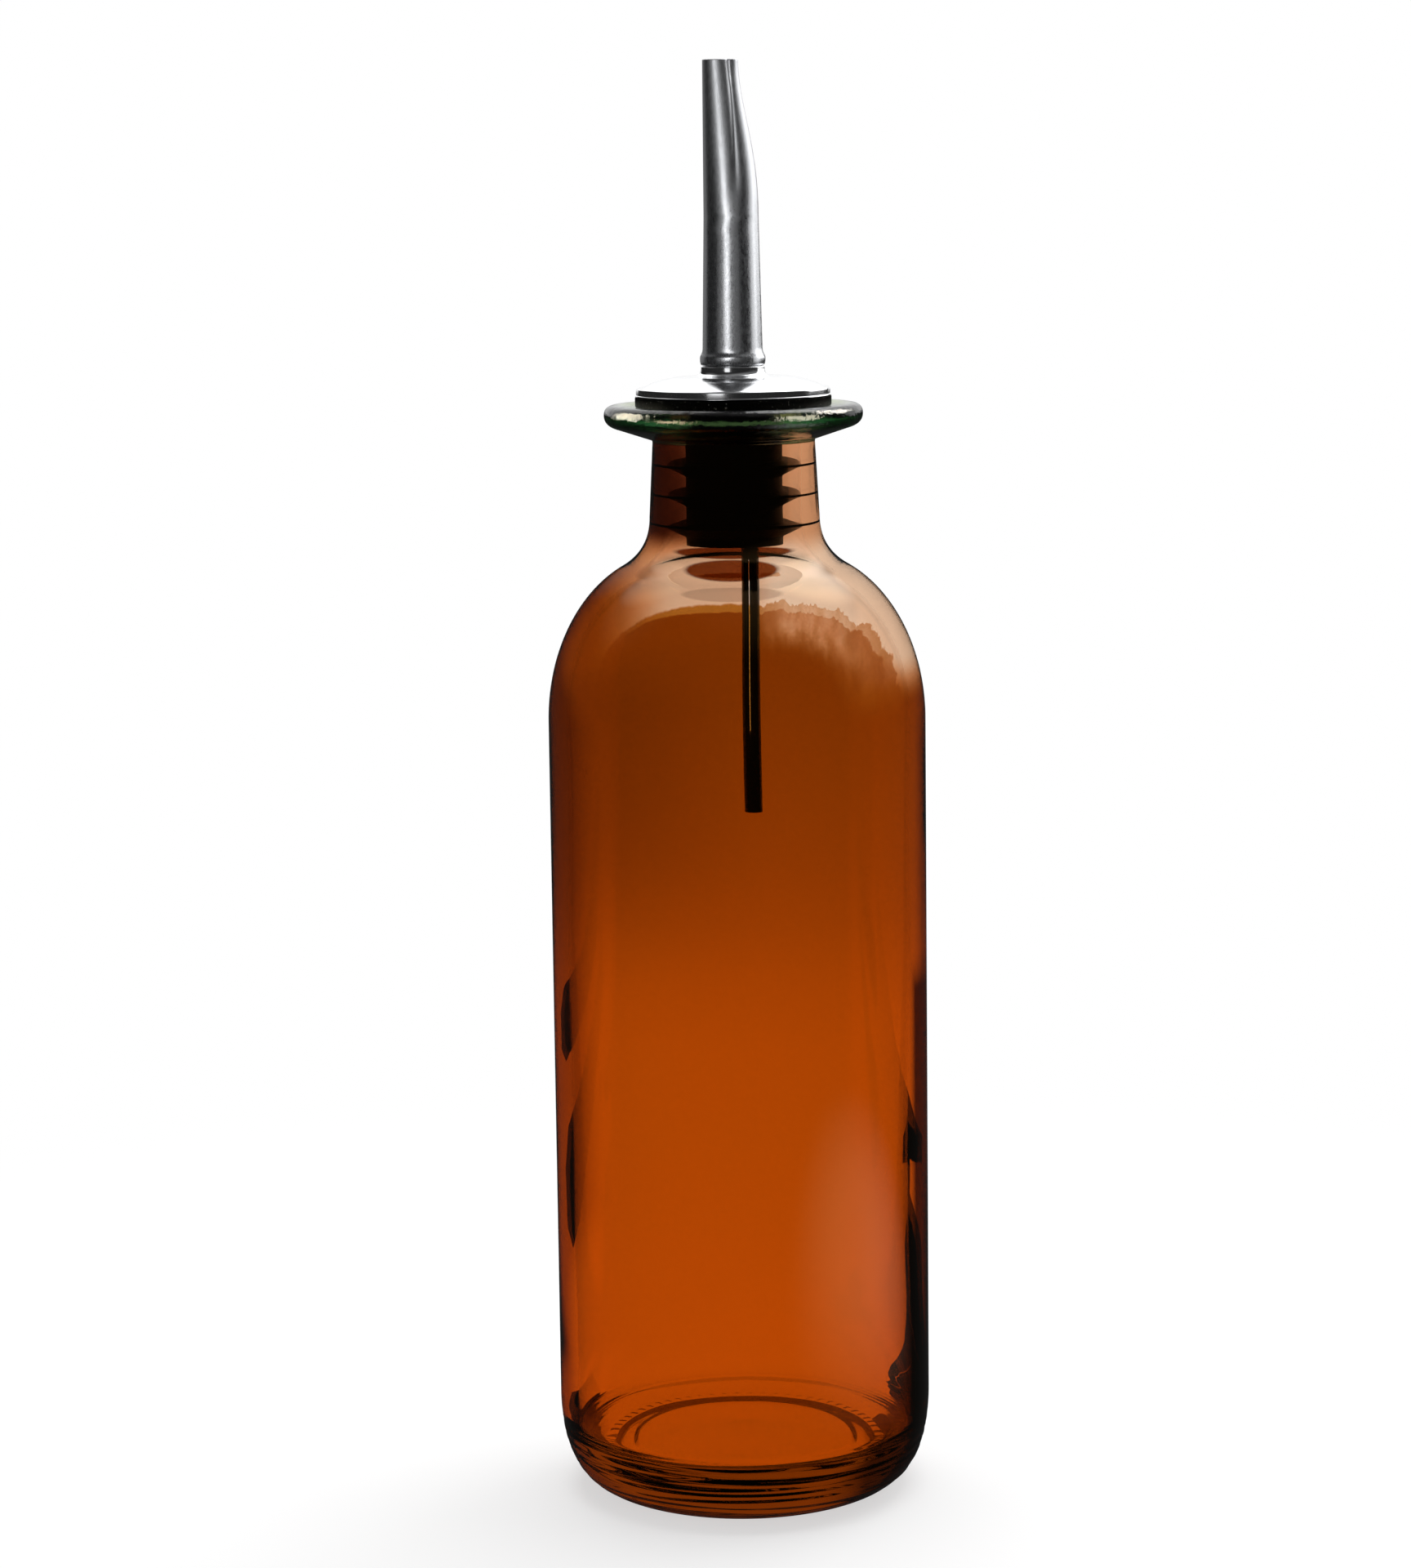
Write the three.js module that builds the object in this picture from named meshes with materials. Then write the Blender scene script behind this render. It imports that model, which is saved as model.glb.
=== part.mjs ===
// Oil and vinegar bottle: an amber glass bottle with a push-in steel pourer.
// Millimetres, +Z up. The origin is the centre of the base, on the plane that the bottle stands on.
// +X is the side of the spout's air vent, and the spout's pinch is seen from -Y.
import * as THREE from "three";

// Bottle: outside
const bodyDiameter = 62;
const heelHeight = 16;
const heelWidth = 12;
const heelFullness = 0.74; // 0.55 is a true quarter ellipse, and more is squarer
const bearingWidth = 2.2;
const pushUpHeight = 3.2;
const bodyHeight = 129.3; // base plane to where the shoulder starts
const shoulderWidth = 20.5;
const shoulderHeight = 27.5;
const shoulderTurn = 66.7; // degrees of the shoulder's ellipse before the neck's fillet takes over
const neckBottomDiameter = 27.8;
const neckTopDiameter = 26.5;
const bottleHeight = 180.5; // base plane to the flat seat on the lip

// Bottle: lip
const lipDiameter = 42.2;
const lipEdgeWidth = 2.1;
const lipSeatMargin = 0.7; // stopper's flange out to where the lip's rim starts to rise
const lipRimRise = 0.45;
const lipEdgeAbove = 1.2; // seat down to the lip's widest ring
const lipEdgeBelow = 2.2; // widest ring down to the underside's cone
const lipConeDrop = 1.7;
const lipRootFillet = 0.6;
const mouthRound = 1;

// Bottle: inside
const glassWall = 2.8;
const neckBoreDiameter = 21.9;
const floorHeight = 7.5;
const floorCrown = 1;
const floorFillet = 8;

// Clearances
const restGap = 0.1; // between faces that rest on each other
const fitGap = 0.15; // round pieces that slide or turn in each other, on the radius

// Stopper
const stopperCoreDiameter = 15.8;
const stopperDepth = 22.8; // lip top down to the core's end
const stopperFlangeDiameter = 32;
const stopperFlangeThickness = 1.7;
const finCount = 3;
const finPitch = 4.85;
const firstFinDepth = 9.1; // lip top down to the first fin's flat top
const finEdgeThickness = 0.6;
const finRootThickness = 2.9;
const stopperEdgeRound = 0.35;

// Pourer: pressed steel cap
const sheetThickness = 0.5;
const capRimWidth = 2.6;
const capRimHeight = 0.9;
const capRimRound = 0.5;
const capDomeWidth = 6.8; // rim's inner edge in to where the dome levels off
const capDomeHeight = 2.2;
const capNeckFillet = 1.3;
const capCollarHeight = 1.6;

// Pourer: spout tube
const spoutWall = 0.5;
const shankDiameter = 9.2;
const shankFlareWidth = 0.9;
const shankFlareThickness = 0.8;
const shankFlareRecess = 1; // stopper's end up to the flare
const beadRise = 0.3;
const beadHeight = 2.8;
const spoutBaseDiameter = 9.74;
const spoutLength = 46.2; // bead top to tip
const pinchLength = 25.2;
const pinchStartDiameter = 8.9;
const pourLobeTipDiameter = 4.6;
const ventLobeTipDiameter = 3;
const tipReachLeft = 4.36; // axis to the tip's pour side
const tipReachRight = 1.42; // axis to the tip's vent side

// Pourer: air tubes
const ventTubeDiameter = 2;
const ventTubeWall = 0.3;
const ventTubeTopInPinch = 7; // up into the pinched stretch
const breatherDiameter = 2.9;
const breatherBelowStopper = 43.7;
const tubeOverlap = 11; // length of the vent tube that the breather tube is pushed over
const breatherTopInStopper = 18; // stopper's end up to the breather tube's end

// Facets round each turned piece
const bottleFacets = 40;
const pourerFacets = 36;
const tubeFacets = 14;

// Levels, stacked from the base plane up
const stopperFlangeBottom = bottleHeight + restGap;
const stopperFlangeTop = stopperFlangeBottom + stopperFlangeThickness;
const stopperEnd = bottleHeight - stopperDepth;
const capBottom = stopperFlangeTop + restGap;
const capRimTop = capBottom + capRimHeight;
const capDomeTop = capRimTop + capDomeHeight;
const collarTop = capDomeTop + capCollarHeight;
const beadBottom = collarTop + restGap;
const beadTop = beadBottom + beadHeight;
const spoutTip = beadTop + spoutLength;
const pinchStart = spoutTip - pinchLength;
const shankEnd = stopperEnd + shankFlareRecess;

// Radii that more than one piece needs
const bodyRadius = bodyDiameter / 2;
const boreRadius = neckBoreDiameter / 2;
const shankRadius = shankDiameter / 2;
const shankBoreRadius = shankRadius - spoutWall;
const shankFlareRadius = shankRadius + shankFlareWidth;
const shankHoleRadius = shankRadius + fitGap;
const ventTubeRadius = ventTubeDiameter / 2;
const breatherRadius = breatherDiameter / 2;

const materials = {
  glass: new THREE.MeshStandardMaterial({
    color: 0x9a4408,
    roughness: 0.05,
    metalness: 0,
    transparent: true,
    opacity: 0.6,
  }),
  steel: new THREE.MeshStandardMaterial({ color: 0xb9bbbd, roughness: 0.28, metalness: 1 }),
  polishedSteel: new THREE.MeshStandardMaterial({ color: 0xd6d8da, roughness: 0.08, metalness: 1 }),
  rubber: new THREE.MeshStandardMaterial({ color: 0x151515, roughness: 0.55, metalness: 0 }),
  blackPlastic: new THREE.MeshStandardMaterial({ color: 0x0d0c0b, roughness: 0.35, metalness: 0 }),
};

// A solid of revolution about Z from a closed (radius, height) outline that runs clockwise.
function turned(outline, facets) {
  return new THREE.LatheGeometry(outline, facets).rotateX(Math.PI / 2);
}

function point(radius, height) {
  return new THREE.Vector2(radius, height);
}

function lerp(from, to, share) {
  return THREE.MathUtils.lerp(from, to, share);
}

// The points of an outline from a function that draws on an empty path. Curves get the given number of steps.
function drawn(start, steps, draw) {
  const path = new THREE.Path();
  path.moveTo(start.x, start.y);
  draw(path);
  return path.getPoints(steps);
}

// The shoulder's quarter ellipse, sunk into the glass by an inset, and the fillet that carries it into
// a straight neck. The points run from the body up to the neck.
function shoulderCurve(inset, neckRadius, steps) {
  const centreRadius = bodyRadius - shoulderWidth;
  const width = shoulderWidth - inset;
  const height = shoulderHeight - inset;
  const turn = THREE.MathUtils.degToRad(shoulderTurn);
  const ellipse = new THREE.EllipseCurve(centreRadius, bodyHeight, width, height, 0, turn);
  const end = ellipse.getPoint(1);
  const rise = (height * Math.cos(turn)) / (width * Math.sin(turn));
  const corner = point(neckRadius, end.y + (end.x - neckRadius) * rise);
  const neckStart = point(neckRadius, corner.y + corner.distanceTo(end));
  const fillet = new THREE.QuadraticBezierCurve(end, corner, neckStart);
  return [...ellipse.getPoints(steps), ...fillet.getPoints(Math.ceil(steps / 2)).slice(1)];
}

// Underside, heel and body up to the shoulder.
function bottleFoot() {
  const bearingOuter = bodyRadius - heelWidth;
  const bearingInner = bearingOuter - bearingWidth;
  const underside = drawn(point(0, pushUpHeight), 4, (path) => {
    path.quadraticCurveTo(bearingInner * 0.8, pushUpHeight, bearingInner, 0);
  });
  const heel = drawn(point(bearingOuter, 0), 9, (path) => {
    path.bezierCurveTo(
      bearingOuter + heelFullness * heelWidth,
      0,
      bodyRadius,
      heelHeight * (1 - heelFullness),
      bodyRadius,
      heelHeight,
    );
  });
  return [...underside, ...heel];
}

// Neck top, lip and mouth, from the neck's outside round to the bore.
function bottleLip() {
  const neckRadius = neckTopDiameter / 2;
  const lipRadius = lipDiameter / 2;
  const edgeRadius = lipRadius - lipEdgeWidth;
  const widest = bottleHeight - lipEdgeAbove;
  const coneTop = widest - lipEdgeBelow;
  const coneBottom = coneTop - lipConeDrop;
  const seatRadius = stopperFlangeDiameter / 2 + lipSeatMargin;
  const crestRadius = lerp(seatRadius, lipRadius, 0.55);
  const slopeRadius = lerp(seatRadius, crestRadius, 0.5);
  const crest = bottleHeight + lipRimRise;
  return drawn(point(neckRadius, coneBottom - lipRootFillet), 4, (path) => {
    path.quadraticCurveTo(neckRadius, coneBottom, neckRadius + lipRootFillet, coneBottom);
    path.lineTo(edgeRadius, coneTop);
    path.quadraticCurveTo(lipRadius, lerp(coneTop, widest, 0.25), lipRadius, widest);
    path.quadraticCurveTo(lipRadius, crest, crestRadius, crest);
    path.bezierCurveTo(slopeRadius, crest, slopeRadius, bottleHeight, seatRadius, bottleHeight);
    path.lineTo(boreRadius + mouthRound, bottleHeight);
    path.quadraticCurveTo(boreRadius, bottleHeight, boreRadius, bottleHeight - mouthRound);
  });
}

// Inner heel and floor, from the wall in to the axis.
function bottleFloor() {
  const innerRadius = bodyRadius - glassWall;
  return drawn(point(innerRadius, floorHeight + floorFillet), 5, (path) => {
    path.quadraticCurveTo(innerRadius, floorHeight, innerRadius - floorFillet, floorHeight);
    path.lineTo(0, floorHeight + floorCrown);
  });
}

function bottle() {
  const outside = shoulderCurve(0, neckBottomDiameter / 2, 10);
  const inside = shoulderCurve(glassWall, boreRadius, 8).reverse();
  const outline = [...bottleFoot(), ...outside, ...bottleLip(), ...inside, ...bottleFloor()];
  return turned(outline, bottleFacets);
}

// One sealing fin: a flat top, a thin edge against the neck's bore, and a cone below that lets it slide in.
function finOutline(top) {
  const edge = boreRadius - fitGap;
  const core = stopperCoreDiameter / 2;
  return [
    point(core, top - finRootThickness),
    point(edge, top - finEdgeThickness),
    point(edge, top),
    point(core, top),
  ];
}

function stopper() {
  const flange = stopperFlangeDiameter / 2;
  const core = stopperCoreDiameter / 2;
  const recess = shankFlareRadius + fitGap;
  const recessTop = shankEnd + shankFlareThickness + restGap;
  const fins = [];
  for (let fin = finCount - 1; fin >= 0; fin -= 1) {
    fins.push(...finOutline(bottleHeight - firstFinDepth - fin * finPitch));
  }
  const outline = [
    point(recess, stopperEnd),
    point(core - stopperEdgeRound, stopperEnd),
    point(core, stopperEnd + stopperEdgeRound),
    ...fins,
    point(core, stopperFlangeBottom),
    point(flange - stopperEdgeRound, stopperFlangeBottom),
    point(flange, stopperFlangeBottom + stopperEdgeRound),
    point(flange, stopperFlangeTop - stopperEdgeRound),
    point(flange - stopperEdgeRound, stopperFlangeTop),
    point(shankHoleRadius, stopperFlangeTop),
    point(shankHoleRadius, recessTop),
    point(recess, recessTop),
    point(recess, stopperEnd),
  ];
  return turned(outline, pourerFacets);
}

// The pressed sheet's surface, sunk into the steel by an inset, from the rim's foot up to the collar's top.
function capSurface(inset) {
  const rim = stopperFlangeDiameter / 2 - inset;
  const domeFoot = stopperFlangeDiameter / 2 - capRimWidth;
  const level = domeFoot - capDomeWidth;
  const collar = shankHoleRadius + sheetThickness - inset;
  const rimTop = capRimTop - inset;
  const domeTop = capDomeTop - inset;
  return drawn(point(rim, capBottom), 5, (path) => {
    path.lineTo(rim, rimTop - capRimRound);
    path.quadraticCurveTo(rim, rimTop, rim - capRimRound, rimTop);
    path.lineTo(domeFoot, rimTop);
    path.quadraticCurveTo(lerp(domeFoot, level, 0.35), domeTop, level, domeTop);
    path.lineTo(collar + capNeckFillet, domeTop);
    path.quadraticCurveTo(collar, domeTop, collar, domeTop + capNeckFillet);
    path.lineTo(collar, collarTop);
  });
}

function flangeCap() {
  const outside = capSurface(0);
  const inside = capSurface(sheetThickness).reverse();
  return turned([...outside, ...inside, outside[0]], pourerFacets);
}

// The two round lobes that the pinch squeezes the spout into, at a share of the way up the pinched
// stretch, and the crease between them. An inset sinks both into the wall.
function pinchLobes(share, inset) {
  const start = pinchStartDiameter / 2;
  const lean = THREE.MathUtils.smoothstep(share ** 1.25, 0, 1);
  const pourRadius = lerp(start, pourLobeTipDiameter / 2, share);
  const ventRadius = lerp(start, ventLobeTipDiameter / 2, share);
  const pour = { centre: pourRadius - lerp(start, tipReachLeft, share), radius: pourRadius - inset };
  const vent = { centre: lerp(start, tipReachRight, lean) - ventRadius, radius: ventRadius - inset };
  const apart = vent.centre - pour.centre;
  const crease = pour.centre + (apart ** 2 + pour.radius ** 2 - vent.radius ** 2) / (2 * apart);
  return { pour, vent, crease };
}

// How far a line from the crease runs, in a direction given by its cosine along X, before it leaves a lobe.
function lobeReach(lobe, crease, cosine) {
  const offset = crease - lobe.centre;
  return Math.sqrt(lobe.radius ** 2 - offset ** 2 * (1 - cosine ** 2)) - offset * cosine;
}

// Bends the straight tube's upper rings into the pinched section. Rings stay level.
function pinch(geometry, outline) {
  const position = geometry.getAttribute("position");
  const ring = outline.length;
  for (let index = 0; index < position.count; index += 1) {
    const { x: radius, y: height } = outline[index % ring];
    if (height < pinchStart) continue;
    const share = Math.max((height - pinchStart) / pinchLength, 1e-3);
    const inset = pinchStartDiameter / 2 - radius;
    const { pour, vent, crease } = pinchLobes(share, inset);
    const direction = point(position.getX(index), position.getY(index)).normalize();
    const reach = Math.max(
      lobeReach(pour, crease, direction.x),
      lobeReach(vent, crease, direction.x),
    );
    position.setXYZ(index, crease + reach * direction.x, reach * direction.y, height);
  }
  return geometry;
}

// The spout: a flared shank through the stopper, a bead that sits on the cap's collar, and a tube that
// is pinched into a pour lobe and a vent lobe towards its tip.
function spout() {
  const base = spoutBaseDiameter / 2;
  const start = pinchStartDiameter / 2;
  const bead = base + beadRise;
  const pinchRings = 9;
  const flareTop = shankEnd + shankFlareThickness;
  const outer = drawn(point(shankBoreRadius, shankEnd), 6, (path) => {
    path.lineTo(shankFlareRadius, shankEnd);
    path.lineTo(shankFlareRadius, flareTop - restGap);
    path.lineTo(shankRadius, flareTop);
    path.lineTo(shankRadius, beadBottom);
    path.lineTo(base, beadBottom);
    const beadLow = lerp(beadBottom, beadTop, 0.1);
    const beadHigh = lerp(beadBottom, beadTop, 0.9);
    path.bezierCurveTo(bead, beadLow, bead, beadHigh, base, beadTop);
  });
  const outerRings = [];
  const innerRings = [];
  for (let ring = 0; ring <= pinchRings; ring += 1) {
    const height = lerp(pinchStart, spoutTip, ring / pinchRings);
    outerRings.push(point(start, height));
    innerRings.unshift(point(start - spoutWall, height));
  }
  const outline = [
    ...outer,
    ...outerRings,
    ...innerRings,
    point(base - spoutWall, beadTop),
    point(shankBoreRadius, beadBottom),
    point(shankBoreRadius, shankEnd),
  ];
  return pinch(turned(outline, pourerFacets), outline);
}

// A plain round tube between two heights.
function tube(outerRadius, innerRadius, bottom, top) {
  const outline = [
    point(innerRadius, bottom),
    point(outerRadius, bottom),
    point(outerRadius, top),
    point(innerRadius, top),
    point(innerRadius, bottom),
  ];
  return turned(outline, tubeFacets);
}

// The air tubes stand side by side with the pour channel, against the nearer of the two walls that they pass:
// the pinched spout at the vent tube's top, and the shank's bore beside the thicker breather tube.
function airTubes() {
  const { vent } = pinchLobes(ventTubeTopInPinch / pinchLength, spoutWall);
  const besidePinch = vent.centre + vent.radius - ventTubeRadius;
  const besideShank = shankBoreRadius - breatherRadius;
  const group = new THREE.Group();
  group.position.x = Math.min(besidePinch, besideShank) - fitGap;
  const breatherTop = stopperEnd + breatherTopInStopper;
  const ventTube = tube(
    ventTubeRadius,
    ventTubeRadius - ventTubeWall,
    breatherTop - tubeOverlap,
    pinchStart + ventTubeTopInPinch,
  );
  const breatherTube = tube(
    breatherRadius,
    ventTubeRadius + fitGap,
    stopperEnd - breatherBelowStopper,
    breatherTop,
  );
  group.add(named("vent_tube", ventTube, materials.steel));
  group.add(named("breather_tube", breatherTube, materials.blackPlastic));
  return group;
}

function named(name, geometry, material) {
  const mesh = new THREE.Mesh(geometry, material);
  mesh.name = name;
  return mesh;
}

const pourer = new THREE.Group();
pourer.add(named("flange_cap", flangeCap(), materials.polishedSteel));
pourer.add(named("spout", spout(), materials.steel));
pourer.add(airTubes());

const oilBottle = new THREE.Group();
oilBottle.add(named("bottle", bottle(), materials.glass));
oilBottle.add(named("stopper", stopper(), materials.rubber));
oilBottle.add(pourer);

export default oilBottle;
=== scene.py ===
# %% [markdown]
# An amber bottle for oil and vinegar, with a steel pourer pushed into its neck. The model that was made to
# measure is loaded as a fixed frame, and each of its six pieces gets a finely turned stand-in here, with
# its own material. The lesson goes in the order of a photo shoot: the studio first, then glass, rubber,
# steel and plastic.

# %% Load the measured model
import math

import bmesh
import bpy
from mathutils import Matrix, Vector, noise


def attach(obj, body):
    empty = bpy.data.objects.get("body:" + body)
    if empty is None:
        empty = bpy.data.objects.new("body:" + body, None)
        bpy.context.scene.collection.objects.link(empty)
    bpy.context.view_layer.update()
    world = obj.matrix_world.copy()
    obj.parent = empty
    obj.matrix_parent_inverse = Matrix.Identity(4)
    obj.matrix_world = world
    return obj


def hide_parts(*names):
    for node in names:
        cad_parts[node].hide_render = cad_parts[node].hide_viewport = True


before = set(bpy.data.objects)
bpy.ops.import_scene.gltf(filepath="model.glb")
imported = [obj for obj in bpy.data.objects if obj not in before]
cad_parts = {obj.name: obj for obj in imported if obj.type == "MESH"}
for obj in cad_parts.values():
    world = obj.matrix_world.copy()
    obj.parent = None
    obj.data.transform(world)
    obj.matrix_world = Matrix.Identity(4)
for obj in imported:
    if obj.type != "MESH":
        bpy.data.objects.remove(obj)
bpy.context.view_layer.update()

scene = bpy.context.scene
MM = 0.001
print("pieces in the frame:", sorted(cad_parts))

# %% [markdown]
# Colours are written as the hex values that a paint program shows. Shaders work on linear light, so one
# function turns a hex value into it. One more function adds a node, sets it and links it, which keeps
# materials short.


# %% Colour and node helpers
def linear(hex_colour, alpha=1.0):
    """A hex colour such as 'b64d0b' as linear red, green, blue and alpha."""
    shares = [int(hex_colour[i:i + 2], 16) / 255 for i in (0, 2, 4)]
    return [s / 12.92 if s <= 0.04045 else ((s + 0.055) / 1.055) ** 2.4 for s in shares] + [alpha]


def add(tree, kind, inputs=None, **settings):
    """Adds a node. Settings are its own choices, and an input is a value or the output of another node."""
    node = tree.nodes.new(kind)
    for name, value in settings.items():
        setattr(node, name, value)
    for socket, value in (inputs or {}).items():
        if isinstance(value, bpy.types.NodeSocket):
            tree.links.new(value, node.inputs[socket])
        else:
            node.inputs[socket].default_value = value
    return node


def empty_material(name):
    """A material with an empty node tree, and its tree."""
    material = bpy.data.materials.new(name)
    material.use_nodes = True
    material.node_tree.nodes.clear()
    return material, material.node_tree


print("amber as linear light:", [round(c, 3) for c in linear("b64d0b")[:3]])

# %% [markdown]
# The camera stands about two thirds of a metre in front of the bottle, a little higher than the spout's
# foot, and looks down by 8.5 degrees. A long lens keeps the upright sides nearly parallel, as in a
# catalogue picture.

# %% Camera
CAMERA_PLACE = (-0.00532, -0.6663, 0.2185)
CAMERA_PITCH = 8.54
CAMERA_ROLL = -0.75
camera_data = bpy.data.cameras.new("camera")
camera_data.lens = 93.75
camera_data.sensor_width = 36
camera = bpy.data.objects.new("camera", camera_data)
turn_down = Matrix.Rotation(math.radians(90 - CAMERA_PITCH), 4, "X")
turn_sideways = Matrix.Rotation(math.radians(CAMERA_ROLL), 4, "Z")
camera.matrix_world = Matrix.Translation(CAMERA_PLACE) @ turn_down @ turn_sideways
scene.collection.objects.link(camera)
scene.camera = camera
scene.view_settings.view_transform = "Standard"
print("camera looks down by", CAMERA_PITCH, "degrees")

# %% [markdown]
# A ray tracer knows what a ray has been through, and Light Path tells it: straight from the camera, through
# glass, or off a mirror. A studio could show the same to all of them. Here each kind of light may find
# something else, so one helper sorts them for the backdrop and the floor alike.


# %% Kinds of light
def kinds_of_light(tree):
    """Sockets that are 1 for light that reaches the camera straight, clear through glass, mirrored at an
    outer face, and mirrored somewhere inside the glass."""
    ray = add(tree, "ShaderNodeLightPath").outputs
    through = ray["Is Transmission Ray"]
    bounced = add(tree, "ShaderNodeMath", {0: ray["Glossy Depth"], 1: 0.5}, operation="GREATER_THAN")
    inside = add(tree, "ShaderNodeMath", {0: through, 1: bounced.outputs[0]}, operation="MULTIPLY")
    clear = add(tree, "ShaderNodeMath", {0: through, 1: inside.outputs[0]}, operation="SUBTRACT")
    outer = add(tree, "ShaderNodeMath", {
        0: ray["Is Glossy Ray"], 1: ray["Is Reflection Ray"]}, operation="MULTIPLY")
    return ray["Is Camera Ray"], clear.outputs[0], outer.outputs[0], inside.outputs[0]


print("the studio tells four kinds of light apart")

# %% [markdown]
# Most patterns here are a few soft limits that hold at once, such as above a height and left of a line.
# Each could be painted or drawn with a colour ramp. A smooth step from one value to another says the same
# in real sizes, so a mask is a product of smooth steps, and two more helpers choose between levels.


# %% Soft limits
def highest(tree, level, *others):
    """The highest of several levels."""
    for other in others:
        level = add(tree, "ShaderNodeMath", {0: level, 1: other}, operation="MAXIMUM").outputs[0]
    return level


def chosen(tree, level, *choices):
    """A level that gives way to another one by each share that is given with it."""
    for share, other in choices:
        level = add(tree, "ShaderNodeMix", {"Factor": share, "A": level, "B": other}).outputs[0]
    return level


def mask(tree, *limits):
    """The share to which all limits hold. A limit is a share, or a value with where it starts and where it is
    full, and its shares there if they aren't 0 and 1."""
    whole = None
    for limit in limits:
        if isinstance(limit, tuple):
            value, start, full, low, high = limit if len(limit) == 5 else (*limit, 0.0, 1.0)
            limit = add(tree, "ShaderNodeMapRange", {
                "Value": value, "From Min": start, "From Max": full, "To Min": low, "To Max": high},
                interpolation_type="SMOOTHSTEP").outputs["Result"]
        if whole is None:
            whole = limit
        else:
            whole = add(tree, "ShaderNodeMath", {0: whole, 1: limit}, operation="MULTIPLY").outputs[0]
    return whole


print("a mask is the product of its soft limits")

# %% [markdown]
# Glass and steel are lit by what stands round them. The white backdrop is seen by the camera and straight
# through the glass, in all directions. Mirrored light is different: soft panels hang overhead and at the
# sides, two small bright ones give the shoulder its sheen, and the room in front is dark, so that steel
# gets dark sides and the glass has no grey veil. Real panels would do, but a world can tell these rays
# apart by their kind, and a panel is only a direction with a soft edge round it. Light that was mirrored
# inside the glass finds a dark ceiling.

# %% White backdrop and dark room
ROOM_LIGHT, AMBIENT_LIGHT = 0.02, 0.35
PANELS = [  # towards x, y, z, then the angles where a panel ends and where it is full, then its brightness
    ((0.37, 0.21, 0.91), 70, 0, 0.25),
    ((-0.65, 0.21, 0.73), 30, 8, 0.12),
    ((0.87, 0.32, 0.36), 60, 15, 0.10),
    ((0.25, 0.70, 0.67), 52, 36, 0.15),
    ((0.37, 0.44, 0.81), 25, 8, 4.0),
    ((-0.42, 0.44, 0.79), 20, 6, 1.2)]
ABOVE_FLOOR, BELOW_CEILING = (0.03, 0.25), (0.56, 0.46)  # how far up a direction points
BACK_OF_ROOM = (-0.1, 0.4)  # how far back it points
world = bpy.data.worlds.new("white_studio")
world.use_nodes = True
scene.world = world
sky = world.node_tree
sky.nodes.clear()
straight_on, clear, outer, inside = kinds_of_light(sky)
direction = add(sky, "ShaderNodeTexCoord").outputs["Generated"]
_, backwards, upwards = add(sky, "ShaderNodeSeparateXYZ", {0: direction}).outputs
panels = []
for towards, end, full, brightness in PANELS:
    along = add(sky, "ShaderNodeVectorMath", {
        0: direction, 1: Vector(towards).normalized()}, operation="DOT_PRODUCT").outputs["Value"]
    end, full = math.cos(math.radians(end)), math.cos(math.radians(full))
    panels.append(mask(sky, (along, end, full, 0.0, brightness)))
mirrored = mask(sky, highest(sky, *panels), (upwards, *ABOVE_FLOOR))
low_part = mask(sky, (backwards, *BACK_OF_ROOM, ROOM_LIGHT, 1.0), (upwards, *BELOW_CEILING))
strength = chosen(sky, AMBIENT_LIGHT, (outer, highest(sky, mirrored, ROOM_LIGHT)), (inside, low_part),
                  (straight_on, 1.0), (clear, 1.0))
background = add(sky, "ShaderNodeBackground", {"Color": (1, 1, 1, 1), "Strength": strength})
add(sky, "ShaderNodeOutputWorld", {"Surface": background.outputs[0]})
print("studio has", len(PANELS), "soft panels")

# %% [markdown]
# The floor is the same white paper. Part of what the camera sees of it is its own glow, which keeps it
# white, and the rest is lit paper, which keeps the bottle's soft shadow. Far away it only glows, so that no
# horizon shows. In mirrored light it is as dark as the room, apart from a lit patch on the right, which
# gives the glass a pale sheen low on that side. Light that was mirrored inside the glass finds it white
# behind the bottle, which keeps the thick foot from going black. There it is dark on the right and in a
# strip farther back, which draws fine dark lines in the foot.

# %% White paper
LIT_PATCH, LIT_PATCH_SHAPE = (0.19, -0.085, 0), (1, 1.1, 1)
LIT_PATCH_END, LIT_PATCH_FULL, LIT_PATCH_LIGHT = 0.15, 0.03, 1.2
WHITE_BEHIND, WHITE_LEFT = (-0.06, 0.03), (0.020, -0.005)
FAR_BACK, WHITE_BESIDE = (0.050, 0.080), (0.050, 0.080)
GLOW_START, GLOW_FULL, GLOW_NEAR = 0.03, 0.3, 0.6
paper, tree = empty_material("white_paper")
straight_on, clear, outer, inside = kinds_of_light(tree)
place = add(tree, "ShaderNodeTexCoord").outputs["Object"]
far = add(tree, "ShaderNodeVectorMath", {0: place}, operation="LENGTH").outputs["Value"]
in_patch = add(tree, "ShaderNodeMapping", {
    "Vector": place, "Location": LIT_PATCH, "Scale": LIT_PATCH_SHAPE}, vector_type="TEXTURE").outputs[0]
off_patch = add(tree, "ShaderNodeVectorMath", {0: in_patch}, operation="LENGTH").outputs["Value"]
patch = mask(tree, (off_patch, LIT_PATCH_END, LIT_PATCH_FULL, ROOM_LIGHT, LIT_PATCH_LIGHT))
aside, back, _ = add(tree, "ShaderNodeSeparateXYZ", {0: place}).outputs
off_middle = add(tree, "ShaderNodeMath", {0: aside}, operation="ABSOLUTE").outputs[0]
beside_strip = chosen(tree, mask(tree, (aside, *WHITE_LEFT)),
                      (mask(tree, (back, *FAR_BACK)), mask(tree, (off_middle, *WHITE_BESIDE))))
behind = mask(tree, (back, *WHITE_BEHIND, ROOM_LIGHT, 1.0), beside_strip)
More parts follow.
